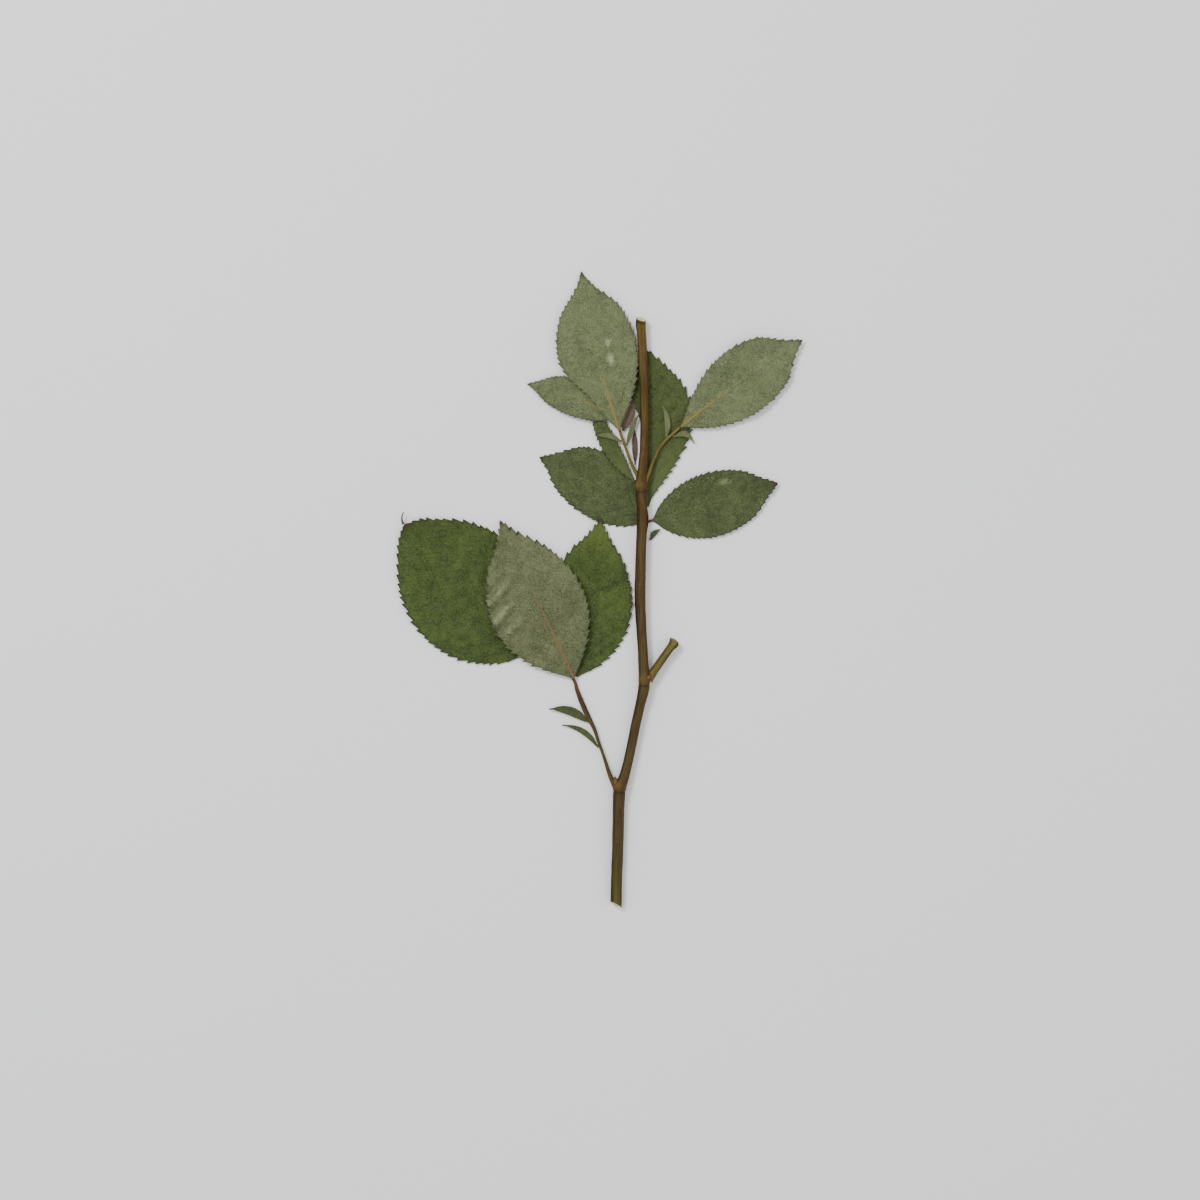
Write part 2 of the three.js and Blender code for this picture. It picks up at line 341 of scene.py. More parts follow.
def push_normal(tree, shader, height, strength, distance):
    """Lets a fine height tilt the shading, as if the surface rose by up to that distance."""
    bump = add(tree, "ShaderNodeBump", {"Height": height, "Strength": strength, "Distance": distance})
    tree.links.new(bump.outputs["Normal"], shader.inputs["Normal"])


# %% Mottle: soft patches
def build_mottle():
    """Noise of a chosen grain, spread so that its middle part runs from 0 to 1."""
    sockets = {"Place": (0.0, 0.0, 0.0), "Grain": 100.0, "Detail": 4.0}
    group, given, out = new_group("mottle", sockets, ["Mask"])
    noise = add(group, "ShaderNodeTexNoise", {"Vector": given["Place"], "Scale": given["Grain"],
                                              "Detail": given["Detail"], "Roughness": 0.6})
    group.links.new(ramp(group, noise.outputs["Fac"], 0.27, 0.73), out["Mask"])
    return group


# %% Specks: small scattered spots
def build_specks():
    """Cells of a chosen grain, of which a share hold one round spot of a chosen size."""
    sockets = {"Place": (0.0, 0.0, 0.0), "Grain": 400.0, "Size": 0.2, "Share": 0.3}
    group, given, out = new_group("specks", sockets, ["Mask"])
    cells = add(group, "ShaderNodeTexVoronoi", {"Vector": given["Place"], "Scale": given["Grain"]})
    dot = maths(group, "LESS_THAN", cells.outputs["Distance"], given["Size"])
    luck = add(group, "ShaderNodeSeparateColor", {0: cells.outputs["Color"]})
    picked = maths(group, "LESS_THAN", luck.outputs[0], given["Share"])
    group.links.new(maths(group, "MULTIPLY", dot, picked), out["Mask"])
    return group


# %% Leaf pattern: midrib, side veins, net and margin
def build_leaf_pattern():
    """Masks that follow the blade. The mesh carries how far each point is from the midrib and
    from the margin, its share of the way to the tip, and a phase that grows by 1 per side vein."""
    group, given, out = new_group(
        "leaf pattern", {"Vein width": 0.05, "Net grain": 1100.0},
        ["Midrib", "Veins", "Net", "Margin", "Along"])
    along = carried(group, "along")
    off_rib = carried(group, "from_midrib")
    off_margin = carried(group, "from_margin")
    rib_width = ramp(group, along, 0.0, 0.8, 1.0 * MM, 0.25 * MM)
    group.links.new(maths(group, "SUBTRACT", 1.0, ramp(group, off_rib, 0.0, rib_width)), out["Midrib"])
    turn = maths(group, "FRACT", carried(group, "vein_phase"))
    near = maths(group, "ABSOLUTE", maths(group, "SUBTRACT", turn, 0.5))
    vein = maths(group, "SUBTRACT", 1.0, ramp(group, near, 0.0, given["Vein width"]))
    fade = ramp(group, off_margin, 0.3 * MM, 4.0 * MM)
    group.links.new(maths(group, "MULTIPLY", vein, fade), out["Veins"])
    place = add(group, "ShaderNodeTexCoord").outputs["Object"]
    cells = add(group, "ShaderNodeTexVoronoi", {"Vector": place, "Scale": given["Net grain"]},
                feature="DISTANCE_TO_EDGE")
    net = maths(group, "SUBTRACT", 1.0, ramp(group, cells.outputs["Distance"], 0.0, 0.16))
    group.links.new(net, out["Net"])
    group.links.new(maths(group, "SUBTRACT", 1.0, ramp(group, off_margin, 0.0, 1.1 * MM)), out["Margin"])
    group.links.new(along, out["Along"])
    return group


MOTTLE, SPECKS, LEAF_PATTERN = build_mottle(), build_specks(), build_leaf_pattern()
print("shared groups:", MOTTLE.name, SPECKS.name, LEAF_PATTERN.name)

# %% [markdown]
# ## The two faces of a leaflet
#
# The upper face dries dark green with sunken veins that show as slightly paler lines. The
# underside is pale and greyish, its midrib stands out tan or reddish, and it carries fine dark
# specks. Both brown at the tip and along the teeth.

# %% Leaf finish
def leaf_material(name, deep, light, rib, vein, scuff, looks):
    """A leaf face. deep and light are its mottled greens, rib and vein its vein colours and
    scuff the rubbed patches; looks holds the amounts of each effect."""
    material, tree, shader = new_finish(name)
    place = add(tree, "ShaderNodeTexCoord").outputs["Object"]
    pattern = place_group(tree, LEAF_PATTERN, Vein_width=looks["vein_width"])
    broad = place_group(tree, MOTTLE, Place=place, Grain=70.0, Detail=3.0)["Mask"]
    cells = place_group(tree, MOTTLE, Place=place, Grain=1900.0, Detail=4.0)["Mask"]
    clouds = place_group(tree, MOTTLE, Place=place, Grain=330.0, Detail=5.0)["Mask"]
    rubbed = place_group(tree, MOTTLE, Place=place, Grain=210.0, Detail=8.0)["Mask"]
    tone = maths(tree, "ADD", maths(tree, "MULTIPLY", broad, 0.3), maths(tree, "MULTIPLY", cells, 0.75))
    tone = maths(tree, "ADD", tone, maths(tree, "MULTIPLY", clouds, 0.35))
    tone = maths(tree, "SUBTRACT", tone, 0.2, clamp=True)
    colour = blend(tree, tone, linear(*deep), linear(*light))
    colour = blend(tree, maths(tree, "MULTIPLY", pattern["Net"], looks["net"]), colour, linear(*vein))
    colour = blend(tree, maths(tree, "MULTIPLY", pattern["Veins"], looks["veins"]), colour, linear(*vein))
    worn = ramp(tree, maths(tree, "MULTIPLY", rubbed, cells), 0.25, 0.9)
    worn = maths(tree, "MULTIPLY", worn, looks["scuff"])
    colour = blend(tree, worn, colour, linear(*scuff))
    # Real pale rubbed spots, and painted highlight on wrinkle ridge tops, both in a lighter scuff colour.
    spot = carried(tree, "scuff_and_ridge_highlight")
    spot = ramp(tree, maths(tree, "MULTIPLY", spot, maths(tree, "ADD", clouds, cells)), 0.2, 1.5, 0.0, 0.8)
    colour = blend(tree, spot, colour, linear(*[1.15 * value for value in scuff]))
    foot = ramp(tree, pattern["Along"], 0.0, 0.55, looks["pale_foot"], 0.0)
    colour = blend(tree, foot, colour, linear(*scuff))
    fresh = ramp(tree, pattern["Along"], 0.68, 1.0, 0.0, looks["pale_tip"])
    colour = blend(tree, fresh, colour, linear(*scuff))
    strength = ramp(tree, pattern["Along"], 0.0, looks["rib_until"], looks["rib"], 0.1 * looks["rib"])
    colour = blend(tree, maths(tree, "MULTIPLY", pattern["Midrib"], strength), colour, linear(*rib))
    spots = place_group(tree, SPECKS, Place=place, Grain=520.0, Size=0.2, Share=0.06)["Mask"]
    colour = blend(tree, maths(tree, "MULTIPLY", spots, looks["specks"]), colour, linear(44, 38, 22))
    edge = maths(tree, "MULTIPLY", pattern["Margin"], maths(tree, "MULTIPLY", rubbed, looks["margin"]))
    colour = blend(tree, edge, colour, linear(44, 34, 20))
    tip = ramp(tree, maths(tree, "ADD", pattern["Along"], maths(tree, "MULTIPLY", cells, 0.02)), 0.955, 1.0)
    colour = blend(tree, maths(tree, "MULTIPLY", tip, looks["tip"]), colour, linear(56, 42, 22))
    tree.links.new(colour, shader.inputs["Base Color"])
    rough = ramp(tree, maths(tree, "ADD", cells, worn), 0.0, 1.2, looks["rough"], looks["rough"] + 0.18)
    tree.links.new(rough, shader.inputs["Roughness"])
    relief = maths(tree, "ADD", maths(tree, "MULTIPLY", pattern["Net"], looks["emboss"]),
                   maths(tree, "MULTIPLY", cells, 0.6))
    relief = maths(tree, "ADD", relief, maths(tree, "MULTIPLY", pattern["Veins"], 2.0 * looks["emboss"]))
    push_normal(tree, shader, relief, 0.55, 0.08 * MM)
    shader.inputs["Specular IOR Level"].default_value = 0.25
    shader.inputs["Sheen Weight"].default_value = looks["sheen"]
    shader.inputs["Sheen Roughness"].default_value = 0.5
    return material


FACE_LOOKS = {"vein_width": 0.06, "net": 0.14, "veins": 0.16, "rib": 0.26, "rib_until": 0.9, "scuff": 0.4,
              "specks": 0.3, "margin": 0.8, "tip": 0.85, "rough": 0.6, "emboss": -0.6, "sheen": 0.0,
              "pale_foot": 0.0, "pale_tip": 0.0}
BACK_LOOKS = {"vein_width": 0.06, "net": 0.2, "veins": 0.22, "rib": 0.8, "rib_until": 0.55, "scuff": 0.36,
              "specks": 0.5, "margin": 0.6, "tip": 0.8, "rough": 0.68, "emboss": 0.7, "sheen": 0.03,
              "pale_foot": 0.0, "pale_tip": 0.0}

DEEP_FACE = leaf_material("leaf face, deep green", (24, 37, 8), (77, 94, 37), (92, 94, 48),
                          (84, 98, 40), (92, 104, 50), FACE_LOOKS)
FRESH_FACE = leaf_material("leaf face, fresh green", (24, 37, 8), (77, 94, 37), (92, 94, 48),
                           (84, 98, 40), (96, 110, 44), {**FACE_LOOKS, "pale_tip": 0.55})
FADED_FACE = leaf_material("leaf face, faded green", (37, 48, 18), (79, 91, 42), (92, 94, 48),
                           (84, 98, 48), (88, 102, 56), {**FACE_LOOKS, "pale_foot": 0.5})
GREY_FACE = leaf_material("leaf face, grey green", (37, 48, 20), (84, 95, 54), (98, 100, 62),
                          (92, 102, 62), (104, 114, 76), {**FACE_LOOKS, "scuff": 0.5})
PALE_BACK = leaf_material("leaf underside, pale", (60, 71, 40), (114, 123, 86), (140, 120, 58),
                          (118, 122, 80), (132, 140, 108), BACK_LOOKS)
TURNED_BACK = leaf_material("leaf underside, turned", (54, 62, 34), (110, 117, 82), (122, 92, 62),
                            (110, 112, 72), (120, 124, 90), {**BACK_LOOKS, "rib_until": 0.8})
STIPULE_LOOKS = {**BACK_LOOKS, "scuff": 0.2, "tip": 1.0, "rib": 0.4, "veins": 0.1, "margin": 0.35}
STIPULE_GREEN = leaf_material("stipule, green", (46, 56, 22), (82, 94, 48), (74, 62, 36),
                              (92, 98, 58), (104, 108, 70), STIPULE_LOOKS)
STIPULE_PALE = leaf_material("stipule, grey green", (76, 86, 48), (112, 120, 78), (86, 74, 48),
                             (108, 112, 74), (122, 126, 92), STIPULE_LOOKS)
# Pinkish-brown painted shadow, for the shaded floor seen between the upper left leaf and the stem.
SHADOW_GAP_FINISH = leaf_material("painted shadow, pinkish brown", (76, 62, 50), (118, 100, 84), (58, 44, 32),
                            (108, 90, 78), (124, 106, 94), {**STIPULE_LOOKS, "margin": 0.6})
print("leaf finishes ready")

# %% [markdown]
# ## The leaf as a sheet
#
# A rose leaflet could be cut from a plane and displaced, but its teeth all point to the apex, its
# veins sweep forward, and some leaflets were pressed folded in half. So the blade is a grid whose
# rows run from base to tip and whose columns run from margin to margin, and everything is said in
# those two parameters. The sheet gets its thickness along its own normal, so a fold stays a sheet.

# %% Rows and columns
def shares(count, ease):
    """count + 1 places from 0 to 1, closer at both ends: u - ease sin(2 pi u) / (2 pi)."""
    u = np.linspace(0.0, 1.0, count + 1)
    return u - ease * np.sin(2 * np.pi * u) / (2 * np.pi)


HALF_COLUMNS = 26
TURN_COLUMNS = 8
WRINKLE_HEIGHT = 1.8 * MM
WRINKLE_HIGHLIGHT = 0.9
FLOOR_GAP = 0.02 * MM


def spread_columns(blade, form, s):
    """Four things for every row and column: the distance from the midrib along the sheet (minus to
    the left), the sideways place, the share t of the half-width from -1 to 1, and how far a folded
    half drops below the crease (None without a fold). The flap of a fold rounds the crease on a
    half circle of the fold radius and then runs back under the leaf."""
    left, middle, right = (between(blade[side], s) for side in ("left", "middle", "right"))
    slim = (1 - form["drawn"] * step(0.74, 0.97, s)) * (1 - 0.8 * step(0.985, 1.0, s))
    waist = 1 - form.get("waist", 0.0) * np.exp(-(((s - 0.2) / 0.15) ** 2))
    slim = slim * form.get("stout", 1.0)
    wide_left, wide_right = (middle - left) * slim * waist, (right - middle) * slim
    v = shares(HALF_COLUMNS, 0.5)
    right_part = v * wide_right[:, None]
    if "fold" not in form:
        left_part = -v[:0:-1] * wide_left[:, None]
        out = np.hstack([left_part, right_part])
        t = np.concatenate([-v[:0:-1], v])
        return out, middle[:, None] + out, np.broadcast_to(t, out.shape), None
    radius = np.minimum(form["fold_radius"], 0.2 * wide_right)[:, None]
    crease = wide_left[:, None]
    turn = np.pi * radius
    flap = np.maximum(form["fold"] * wide_right[:, None] - crease - turn, 0.3 * radius)
    flat = v[::-3] * crease
    bend = crease + np.linspace(1, 0, TURN_COLUMNS + 1)[:-1] * turn
    under = crease + turn + v[:0:-2] * flap
    out = -np.hstack([under, bend, flat[:, :-1]])
    angle = np.clip((-out - crease) / radius, 0, np.pi)
    past = np.maximum(-out - crease - turn, 0)
    side = np.where(-out <= crease, out, -crease - radius * np.sin(angle) + past)
    out, side = np.hstack([out, right_part]), np.hstack([side, right_part])
    t = np.where(out > 0, out / wide_right[:, None], -np.minimum(-out / crease, 1.0))
    drop = np.hstack([radius * (1 - np.cos(angle)), np.zeros_like(right_part)])
    return out, middle[:, None] + side, t, drop


# %% Teeth
def teeth(line, outward, spacing, size, rng):
    """Saw teeth along a margin line. Within one tooth the way out grows as the share of the tooth
    to the power 1.6 and falls back at once, and the tooth leans forward as it grows."""
    ahead = np.gradient(line, axis=0)
    pace = np.linalg.norm(ahead, axis=1, keepdims=True)
    ahead = ahead / np.maximum(pace, 1e-9)
    travelled = np.concatenate([[0], np.cumsum(np.linalg.norm(np.diff(line, axis=0), axis=1))])
    count = max(int(travelled[-1] / spacing), 2)
    wander = 0.25 * np.sin(travelled / spacing * 0.9 + rng.uniform(0, 6))
    place = travelled / travelled[-1] * count + wander
    tooth = np.clip(place.astype(int), 0, count)
    saw = (place - np.floor(place)) ** 1.6
    each = rng.uniform(0.65, 1.2, count + 1)[tooth]
    share = travelled / travelled[-1]
    grown = step(0.04, 0.2, share) * (1 - 0.6 * step(0.9, 1.0, share)) * (share < 0.985)
    across = np.stack([ahead[:, 1], -ahead[:, 0]], axis=1) * outward
    tall = (size * each * grown)[:, None]
    return tall * ((saw[:, None] - 0.3) * across + 0.7 * saw[:, None] * ahead)


# %% Veins and crinkles
def vein_phase(s, t, form):
    """Side veins lie where this is a half over a whole number. They leave the midrib and sweep
    forward: the phase is count (s - 0.17 |t| - 0.10 t^2), and the two sides alternate."""
    apart = np.abs(t)
    sweep = s - 0.17 * apart - 0.10 * apart**2
    alternate = 0.5 * step(0.0, 0.12, apart) * (t > 0)
    wobble = 0.07 * np.sin(9.0 * s + 3.0 * t + form["seed"]) + 0.04 * np.sin(23.0 * s - 7.0 * t)
    return form["veins"] * sweep + alternate + wobble + 2.0


def crinkle(place, seed):
    """Gentle unevenness: 14 sine waves of 4 to 16 mm in directions drawn at random, each as strong
    as its length over 16 mm, added and divided by 5."""
    rng = np.random.default_rng(seed)
    total = np.zeros(place.shape[:-1])
    for _ in range(14):
        length, heading, start = rng.uniform(4, 16) * MM, rng.uniform(0, 6.283), rng.uniform(0, 6.283)
        phase = (place[..., 0] * np.cos(heading) + place[..., 1] * np.sin(heading)) / length
        total += length / (16 * MM) * np.sin(2 * np.pi * phase + start)
    return total / 5.0


def relief_of(out, s, t, from_margin, phase, place, form):
    """Height towards the leaf's face: sunken veins and midrib, puckers between the veins and
    crinkles. The veins fade to the margin."""
    near = np.abs(phase - np.floor(phase) - 0.5)
    fade = step(0.5 * MM, 5 * MM, from_margin)
    veins = -0.10 * MM * np.exp(-((near / 0.09) ** 2)) * fade
    puckers = form["pucker"] * np.cos(2 * np.pi * phase) * step(0.05, 0.4, np.abs(t)) * fade
    rib = -0.16 * MM * np.exp(-((out / (0.6 * MM)) ** 2)) * (1 - 0.6 * s)
    return veins + puckers + rib + form["crinkle"] * crinkle(place, form["seed"])


def rubbed_spots(s, t, spots):
    """Where the press rubbed the leaf pale: a soft round spot at each (s, t, size)."""
    total = np.zeros(np.broadcast(s, t).shape)
    for place, aside, size in spots:
        total += np.exp(-(((s - place) / size) ** 2) - ((t - aside) / (2.2 * size)) ** 2)
    return np.clip(total, 0.0, 1.0)


# %% The sheet itself
def leaf_sheet(blade, form):
    """Points, faces, face slots and carried values of one leaflet, from its blade and form."""
    rng = np.random.default_rng(form["seed"])
    s = shares(form["rows"], 0.7)
    out, side, t, drop = spread_columns(blade, form, s)
    rows, columns = out.shape
    under = between(blade["under"], s)
    over = between(blade["over"], s)
    spots = (np.clip(t, -1, 1) + 1) / 2
    last = under.shape[1] - 1
    pick = np.clip((spots * last).astype(int), 0, last - 1)
    part = spots * last - pick
    part = part * part * (3 - 2 * part) * 0.35 + part * 0.65
    low = np.take_along_axis(under, pick, 1) * (1 - part) + np.take_along_axis(under, pick + 1, 1) * part
    high = np.take_along_axis(over, pick, 1) * (1 - part) + np.take_along_axis(over, pick + 1, 1) * part
    lift = (low + high) / 2 if drop is None else high - 0.1 * MM - drop
    reach = s * blade["length"] - form.get("root", 0.45 * MM) * (1 - step(0.0, 0.05, s))
    flat = blade["base"] + reach[:, None, None] * blade["chord"] + side[..., None] * blade["rightward"]
    width = np.maximum(np.abs(out[:, [0, -1]]), 1e-6)
    sheet_t = np.where(out < 0, out / width[:, :1], out / width[:, 1:])
    from_margin = np.where(out < 0, width[:, :1], width[:, 1:]) - np.abs(out)
    for column, outward in ((0, -1.0 if drop is None else 1.0), (-1, 1.0)):
        push = teeth(flat[:, column], outward, form["spacing"], form["teeth"], rng)
        band = np.clip(1.7 * MM / width[:, column], 0.05, 1.0)[:, None]
        inside = step(0, 1, (np.abs(sheet_t) - 1 + band) / band)
        weight = inside * ((out < 0) if column == 0 else (out > 0))
        flat = flat + weight[..., None] * push[:, None, :]
    place = np.dstack([flat, lift])
    phase = vein_phase(s[:, None], sheet_t, form)
    relief = relief_of(out, s[:, None], sheet_t, from_margin, phase, flat, form)
    face = -1.0 if form["turned"] else 1.0
    along_rows, along_columns = np.gradient(place, axis=0), np.gradient(place, axis=1)
    normal = np.cross(along_columns, along_rows)
    normal /= np.maximum(np.linalg.norm(normal, axis=2, keepdims=True), 1e-12)
    ends = (step(0.0, 0.04, s) * (1 - step(0.97, 1.0, s)))[:, None]
    place = place + normal * (face * relief * ends)[..., None]
    rubbed = rubbed_spots(s[:, None], sheet_t, form.get("spots", ()))
    # The wrinkles' ridge tops get painted highlight, carried together with the real rubbed spots.
    if "wrinkles" in form:
        ridges_up = form["wrinkles"](s[:, None], sheet_t)
        place[..., 2] += ridges_up * ends
        rubbed = np.clip(rubbed + WRINKLE_HIGHLIGHT * ridges_up / WRINKLE_HEIGHT, 0.0, 1.0)
    thin = form["thickness"] * (1 - 0.5 * step(0.8, 1.0, np.abs(sheet_t)))
    rib = form["rib"] * (1 - 0.75 * s[:, None]) * np.exp(-((out / (0.5 * MM)) ** 2))
    clear = thin / 2 + rib + FLOOR_GAP
    place[..., 2] = np.maximum(place[..., 2], clear)
    top = place + normal * (thin / 2 + (rib if form["turned"] else 0))[..., None]
    bottom = place - normal * (thin / 2 + (0 if form["turned"] else rib))[..., None]
    upper = grid_quads(rows, columns)
    lower = grid_quads(rows, columns, first=rows * columns)[:, ::-1]
    loop = rim_loop(rows, columns)
    following = np.roll(loop, -1)
    rim = np.stack([loop + rows * columns, following + rows * columns, following, loop], axis=1)
    slots = np.concatenate([np.zeros(len(upper)), np.ones(len(lower)), np.zeros(len(rim))])
    values = {
        "along": np.tile(np.repeat(s, columns), 2),
        "from_midrib": np.tile(np.abs(out).ravel(), 2),
        "from_margin": np.tile(from_margin.ravel(), 2),
        "vein_phase": np.tile(phase.ravel(), 2),
        "scuff_and_ridge_highlight": np.tile(rubbed.ravel(), 2),
    }
    points = np.vstack([top.reshape(-1, 3), bottom.reshape(-1, 3)])
    return points, np.vstack([upper, lower, rim]), slots, values


# %% [markdown]
# ## The leaflets, one by one
#
# Each leaflet has its own form: which face is up, how many side veins, how big its teeth are, how crinkled
# it dried. The turned leaflet of the lower leaf lies highest and has a few wrinkles where its margin was
# pushed in the press, with painted highlight along their tops.
#
# In a form, teeth and spacing are the saw's size and pace, drawn narrows the tip, waist narrows
# the left half near the base, stout widens the blade, veins counts the side veins, pucker and
# crinkle are heights, rib is how far the midrib stands out, fold is the folded half's width as a
# share of the other half, and spots are (share of the way, share across, size) of rubbed places.

# %% Forms
def pressed_wrinkles(s, t):
    """Ridges that start at the left margin and die out inwards: a row of bumps along the blade,
    sin^2 of the share of the way, kept to the left half and the middle of the leaf."""
    inwards = step(0.12, 0.75, -t)
    middle = step(0.30, 0.42, s) * (1 - step(0.62, 0.74, s))
    return WRINKLE_HEIGHT * inwards * middle * np.sin(2 * np.pi * (4.6 * s - 0.6 * t)) ** 2


PLAIN = {"rows": 240, "turned": False, "veins": 9, "teeth": 1.2 * MM, "spacing": 2.9 * MM,
         "pucker": 0.10 * MM, "drawn": 0.3, "crinkle": 0.26 * MM, "thickness": 0.22 * MM,
         "rib": 0.30 * MM, "seed": 1}

LEAFLETS = {
    "lower_leaf_end_leaflet": (
        "lower_leaf_stalk", DEEP_FACE, PALE_BACK, {"seed": 11, "veins": 10, "drawn": 0.1}),
    "lower_leaf_right_leaflet": (
        "lower_leaf_stalk", FRESH_FACE, PALE_BACK, {"seed": 12, "drawn": 0.35}),
    "lower_leaf_turned_leaflet": (
        "lower_leaf_stalk", TURNED_BACK, DEEP_FACE,
        {"seed": 13, "turned": True, "wrinkles": pressed_wrinkles}),
    "middle_leaf_left_leaflet": (
        "middle_leaf_stalk", GREY_FACE, PALE_BACK,
        {"seed": 14, "rows": 200, "teeth": 0.8 * MM, "spacing": 2.2 * MM, "drawn": 0.4}),
    "middle_leaf_right_leaflet": (
        "middle_leaf_stalk", GREY_FACE, PALE_BACK,
        {"seed": 15, "rows": 200, "spots": ((0.62, -0.6, 0.06),), "teeth": 0.75 * MM,
         "spacing": 2.2 * MM, "drawn": 0.35}),
    "middle_leaf_end_leaflet": (
        "middle_leaf_stalk", FADED_FACE, PALE_BACK,
        {"seed": 16, "fold": 0.92, "fold_radius": 0.24 * MM, "crinkle": 0.05 * MM,
         "teeth": 1.35 * MM, "drawn": 0.1}),
    "upper_left_end_leaflet": (
        "upper_left_stalk", PALE_BACK, DEEP_FACE,
        {"seed": 17, "turned": True, "waist": 0.33, "teeth": 0.9 * MM, "spacing": 2.3 * MM,
         "drawn": 0.5, "spots": ((0.53, 0.33, 0.035), (0.43, 0.29, 0.045))}),
    "upper_left_side_leaflet": (
        "upper_left_stalk", PALE_BACK, DEEP_FACE,
        {"seed": 18, "turned": True, "rows": 160, "teeth": 0.6 * MM, "spacing": 1.7 * MM,
         "crinkle": 0.12 * MM, "drawn": 0.4}),
    "upper_left_back_leaflet": (
        "upper_left_stalk", FADED_FACE, PALE_BACK,
        {"seed": 19, "rows": 160, "fold": 3.4, "fold_radius": 0.17 * MM, "teeth": 0.8 * MM,
         "spacing": 2.0 * MM, "crinkle": 0.03 * MM, "drawn": 0.2}),
    "upper_right_leaflet": (
        "upper_right_stalk", PALE_BACK, DEEP_FACE,
        {"seed": 20, "turned": True, "drawn": 0.5, "teeth": 0.85 * MM, "spacing": 2.3 * MM}),
}


for node, (stalk, top_finish, bottom_finish, own) in LEAFLETS.items():
    form = {**PLAIN, **own}
    points, faces, slots, values = leaf_sheet(read_blade(node, stalk), form)
    make_piece(f"{node}_sheet", points, faces, [top_finish, bottom_finish], slots, values,
               node)
    print(node, "points:", len(points))

# %% [markdown]
# ## The stipules
#
# Where a stalk leaves the stem a rose bears a pair of narrow leafy ears. They are leaves in small:
# the same sheet, with hardly any teeth and a brown thread of a tip.

# %% Stipules
SMALL = {**PLAIN, "rows": 90, "veins": 5, "teeth": 0.14 * MM, "spacing": 0.8 * MM, "pucker": 0.0,
         "crinkle": 0.1 * MM, "thickness": 0.18 * MM, "rib": 0.10 * MM, "root": 0.6 * MM,
         "drawn": 0.3, "stout": 1.25}

STIPULES = {
    "lower_leaf_upper_stipule": ("lower_leaf_stalk", STIPULE_GREEN, 51),
    "lower_leaf_lower_stipule": ("lower_leaf_stalk", STIPULE_GREEN, 52),
    "middle_leaf_stipule": ("middle_leaf_stalk", STIPULE_GREEN, 53),
    "upper_left_outer_stipule": ("upper_left_stalk", STIPULE_PALE, 54),
    "upper_left_inner_stipule": ("upper_left_stalk", STIPULE_PALE, 55),
    "upper_right_inner_stipule": ("upper_right_stalk", STIPULE_PALE, 56),
    "upper_right_outer_stipule": ("upper_right_stalk", STIPULE_PALE, 57),
}

for node, (stalk, finish, seed) in STIPULES.items():
    points, faces, slots, values = leaf_sheet(read_blade(node, stalk), {**SMALL, "seed": seed})
    make_piece(f"{node}_sheet", points, faces, [finish, finish], slots, values, node)
    print(node, "points:", len(points))

# %% [markdown]
# ## Reading a stem from its solid
#
# A stem's solid is a bent, tapering rod. To carry fine bark along it, the rod is cut across at
# equal steps, marching from one end to the other: the middle of each cut is a point of the axis
# and the mean distance to it is the radius. The foot of a stalk is cut to a saddle against the
# stem, so the march starts at the free end and the last stretch is carried on into the bark.

# %% Rod reader
def crossings(corners, triangles, point, direction):
    """Where the edges of a mesh cross the plane through point, square to direction."""
    height = (corners - point) @ direction
    starts = triangles.ravel()
    ends = np.roll(triangles, -1, axis=1).ravel()
    cut = (height[starts] < 0) & (height[ends] >= 0)
    a, b = starts[cut], ends[cut]
    share = height[a] / (height[a] - height[b])
    return corners[a] + (corners[b] - corners[a]) * share[:, None]


def read_rod(node, foot_side, pace, reach_past):
    """The axis and radii of a rod, from its free end to its foot. The foot is the end nearer to
    the points of foot_side; reach_past carries it on in a straight line by that length."""
    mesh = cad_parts[node].data
    corners = np.empty(len(mesh.vertices) * 3)
    mesh.vertices.foreach_get("co", corners)
    corners = corners.reshape(-1, 3)
    mesh.calc_loop_triangles()
    triangles = np.empty(len(mesh.loop_triangles) * 3, np.int32)
    mesh.loop_triangles.foreach_get("vertices", triangles)
    triangles = triangles.reshape(-1, 3)
    apart = np.linalg.norm(corners[:, None] - corners[None], axis=2)
    start, foot = (corners[n] for n in np.unravel_index(apart.argmax(), apart.shape))
    if np.linalg.norm(foot_side - start, axis=1).min() < np.linalg.norm(foot_side - foot, axis=1).min():
        start, foot = foot, start
    heading = (foot - start) / np.linalg.norm(foot - start)
    where = start + heading * 0.4 * pace
    axis, radii = [], []
    for _ in range(int(1.5 * np.linalg.norm(foot - start) / pace)):
        ring = crossings(corners, triangles, where, heading)
        ring = ring[np.linalg.norm(ring - where, axis=1) < 4 * MM]
        if len(ring) < 8 or (foot - where) @ heading < 0.8 * MM:
            break
        middle = (ring.min(axis=0) + ring.max(axis=0)) / 2
        if axis:
            heading = middle - axis[max(len(axis) - 3, 0)]
            heading /= np.linalg.norm(heading)
        axis.append(middle)
        radii.append(np.linalg.norm(ring - middle, axis=1).mean())
        where = middle + heading * pace
    axis, radii = np.array(axis), np.array(radii)
    axis[0] -= heading_of(axis[0], axis[1]) * 0.4 * pace
    onward = heading_of(axis[-5], axis[-1])
    extra = np.arange(1, int(reach_past / pace) + 1)[:, None] * pace
    axis = np.vstack([axis, axis[-1] + onward * extra])
    radii = np.concatenate([radii, np.full(len(extra), radii[-1])])
    return softened(axis), softened(radii[:, None])[:, 0]


def heading_of(start, end):
    """The direction from one point to another."""
    return (end - start) / np.linalg.norm(end - start)


def softened(samples):
    """Each inner sample becomes the mean of itself, twice, and its two neighbours."""
    soft = samples.copy()
    soft[1:-1] = (samples[:-2] + 2 * samples[1:-1] + samples[2:]) / 4
    return soft


stem_low = np.array(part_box("main_stem")[0])
butt = np.array([[stem_low[0], stem_low[1], 0.0]])
stem_axis, stem_radii = read_rod("main_stem", butt, 1.0 * MM, 0.8 * MM)
print("stem axis points:", len(stem_axis),
      "radii mm:", (stem_radii.min() / MM).round(2), (stem_radii.max() / MM).round(2))

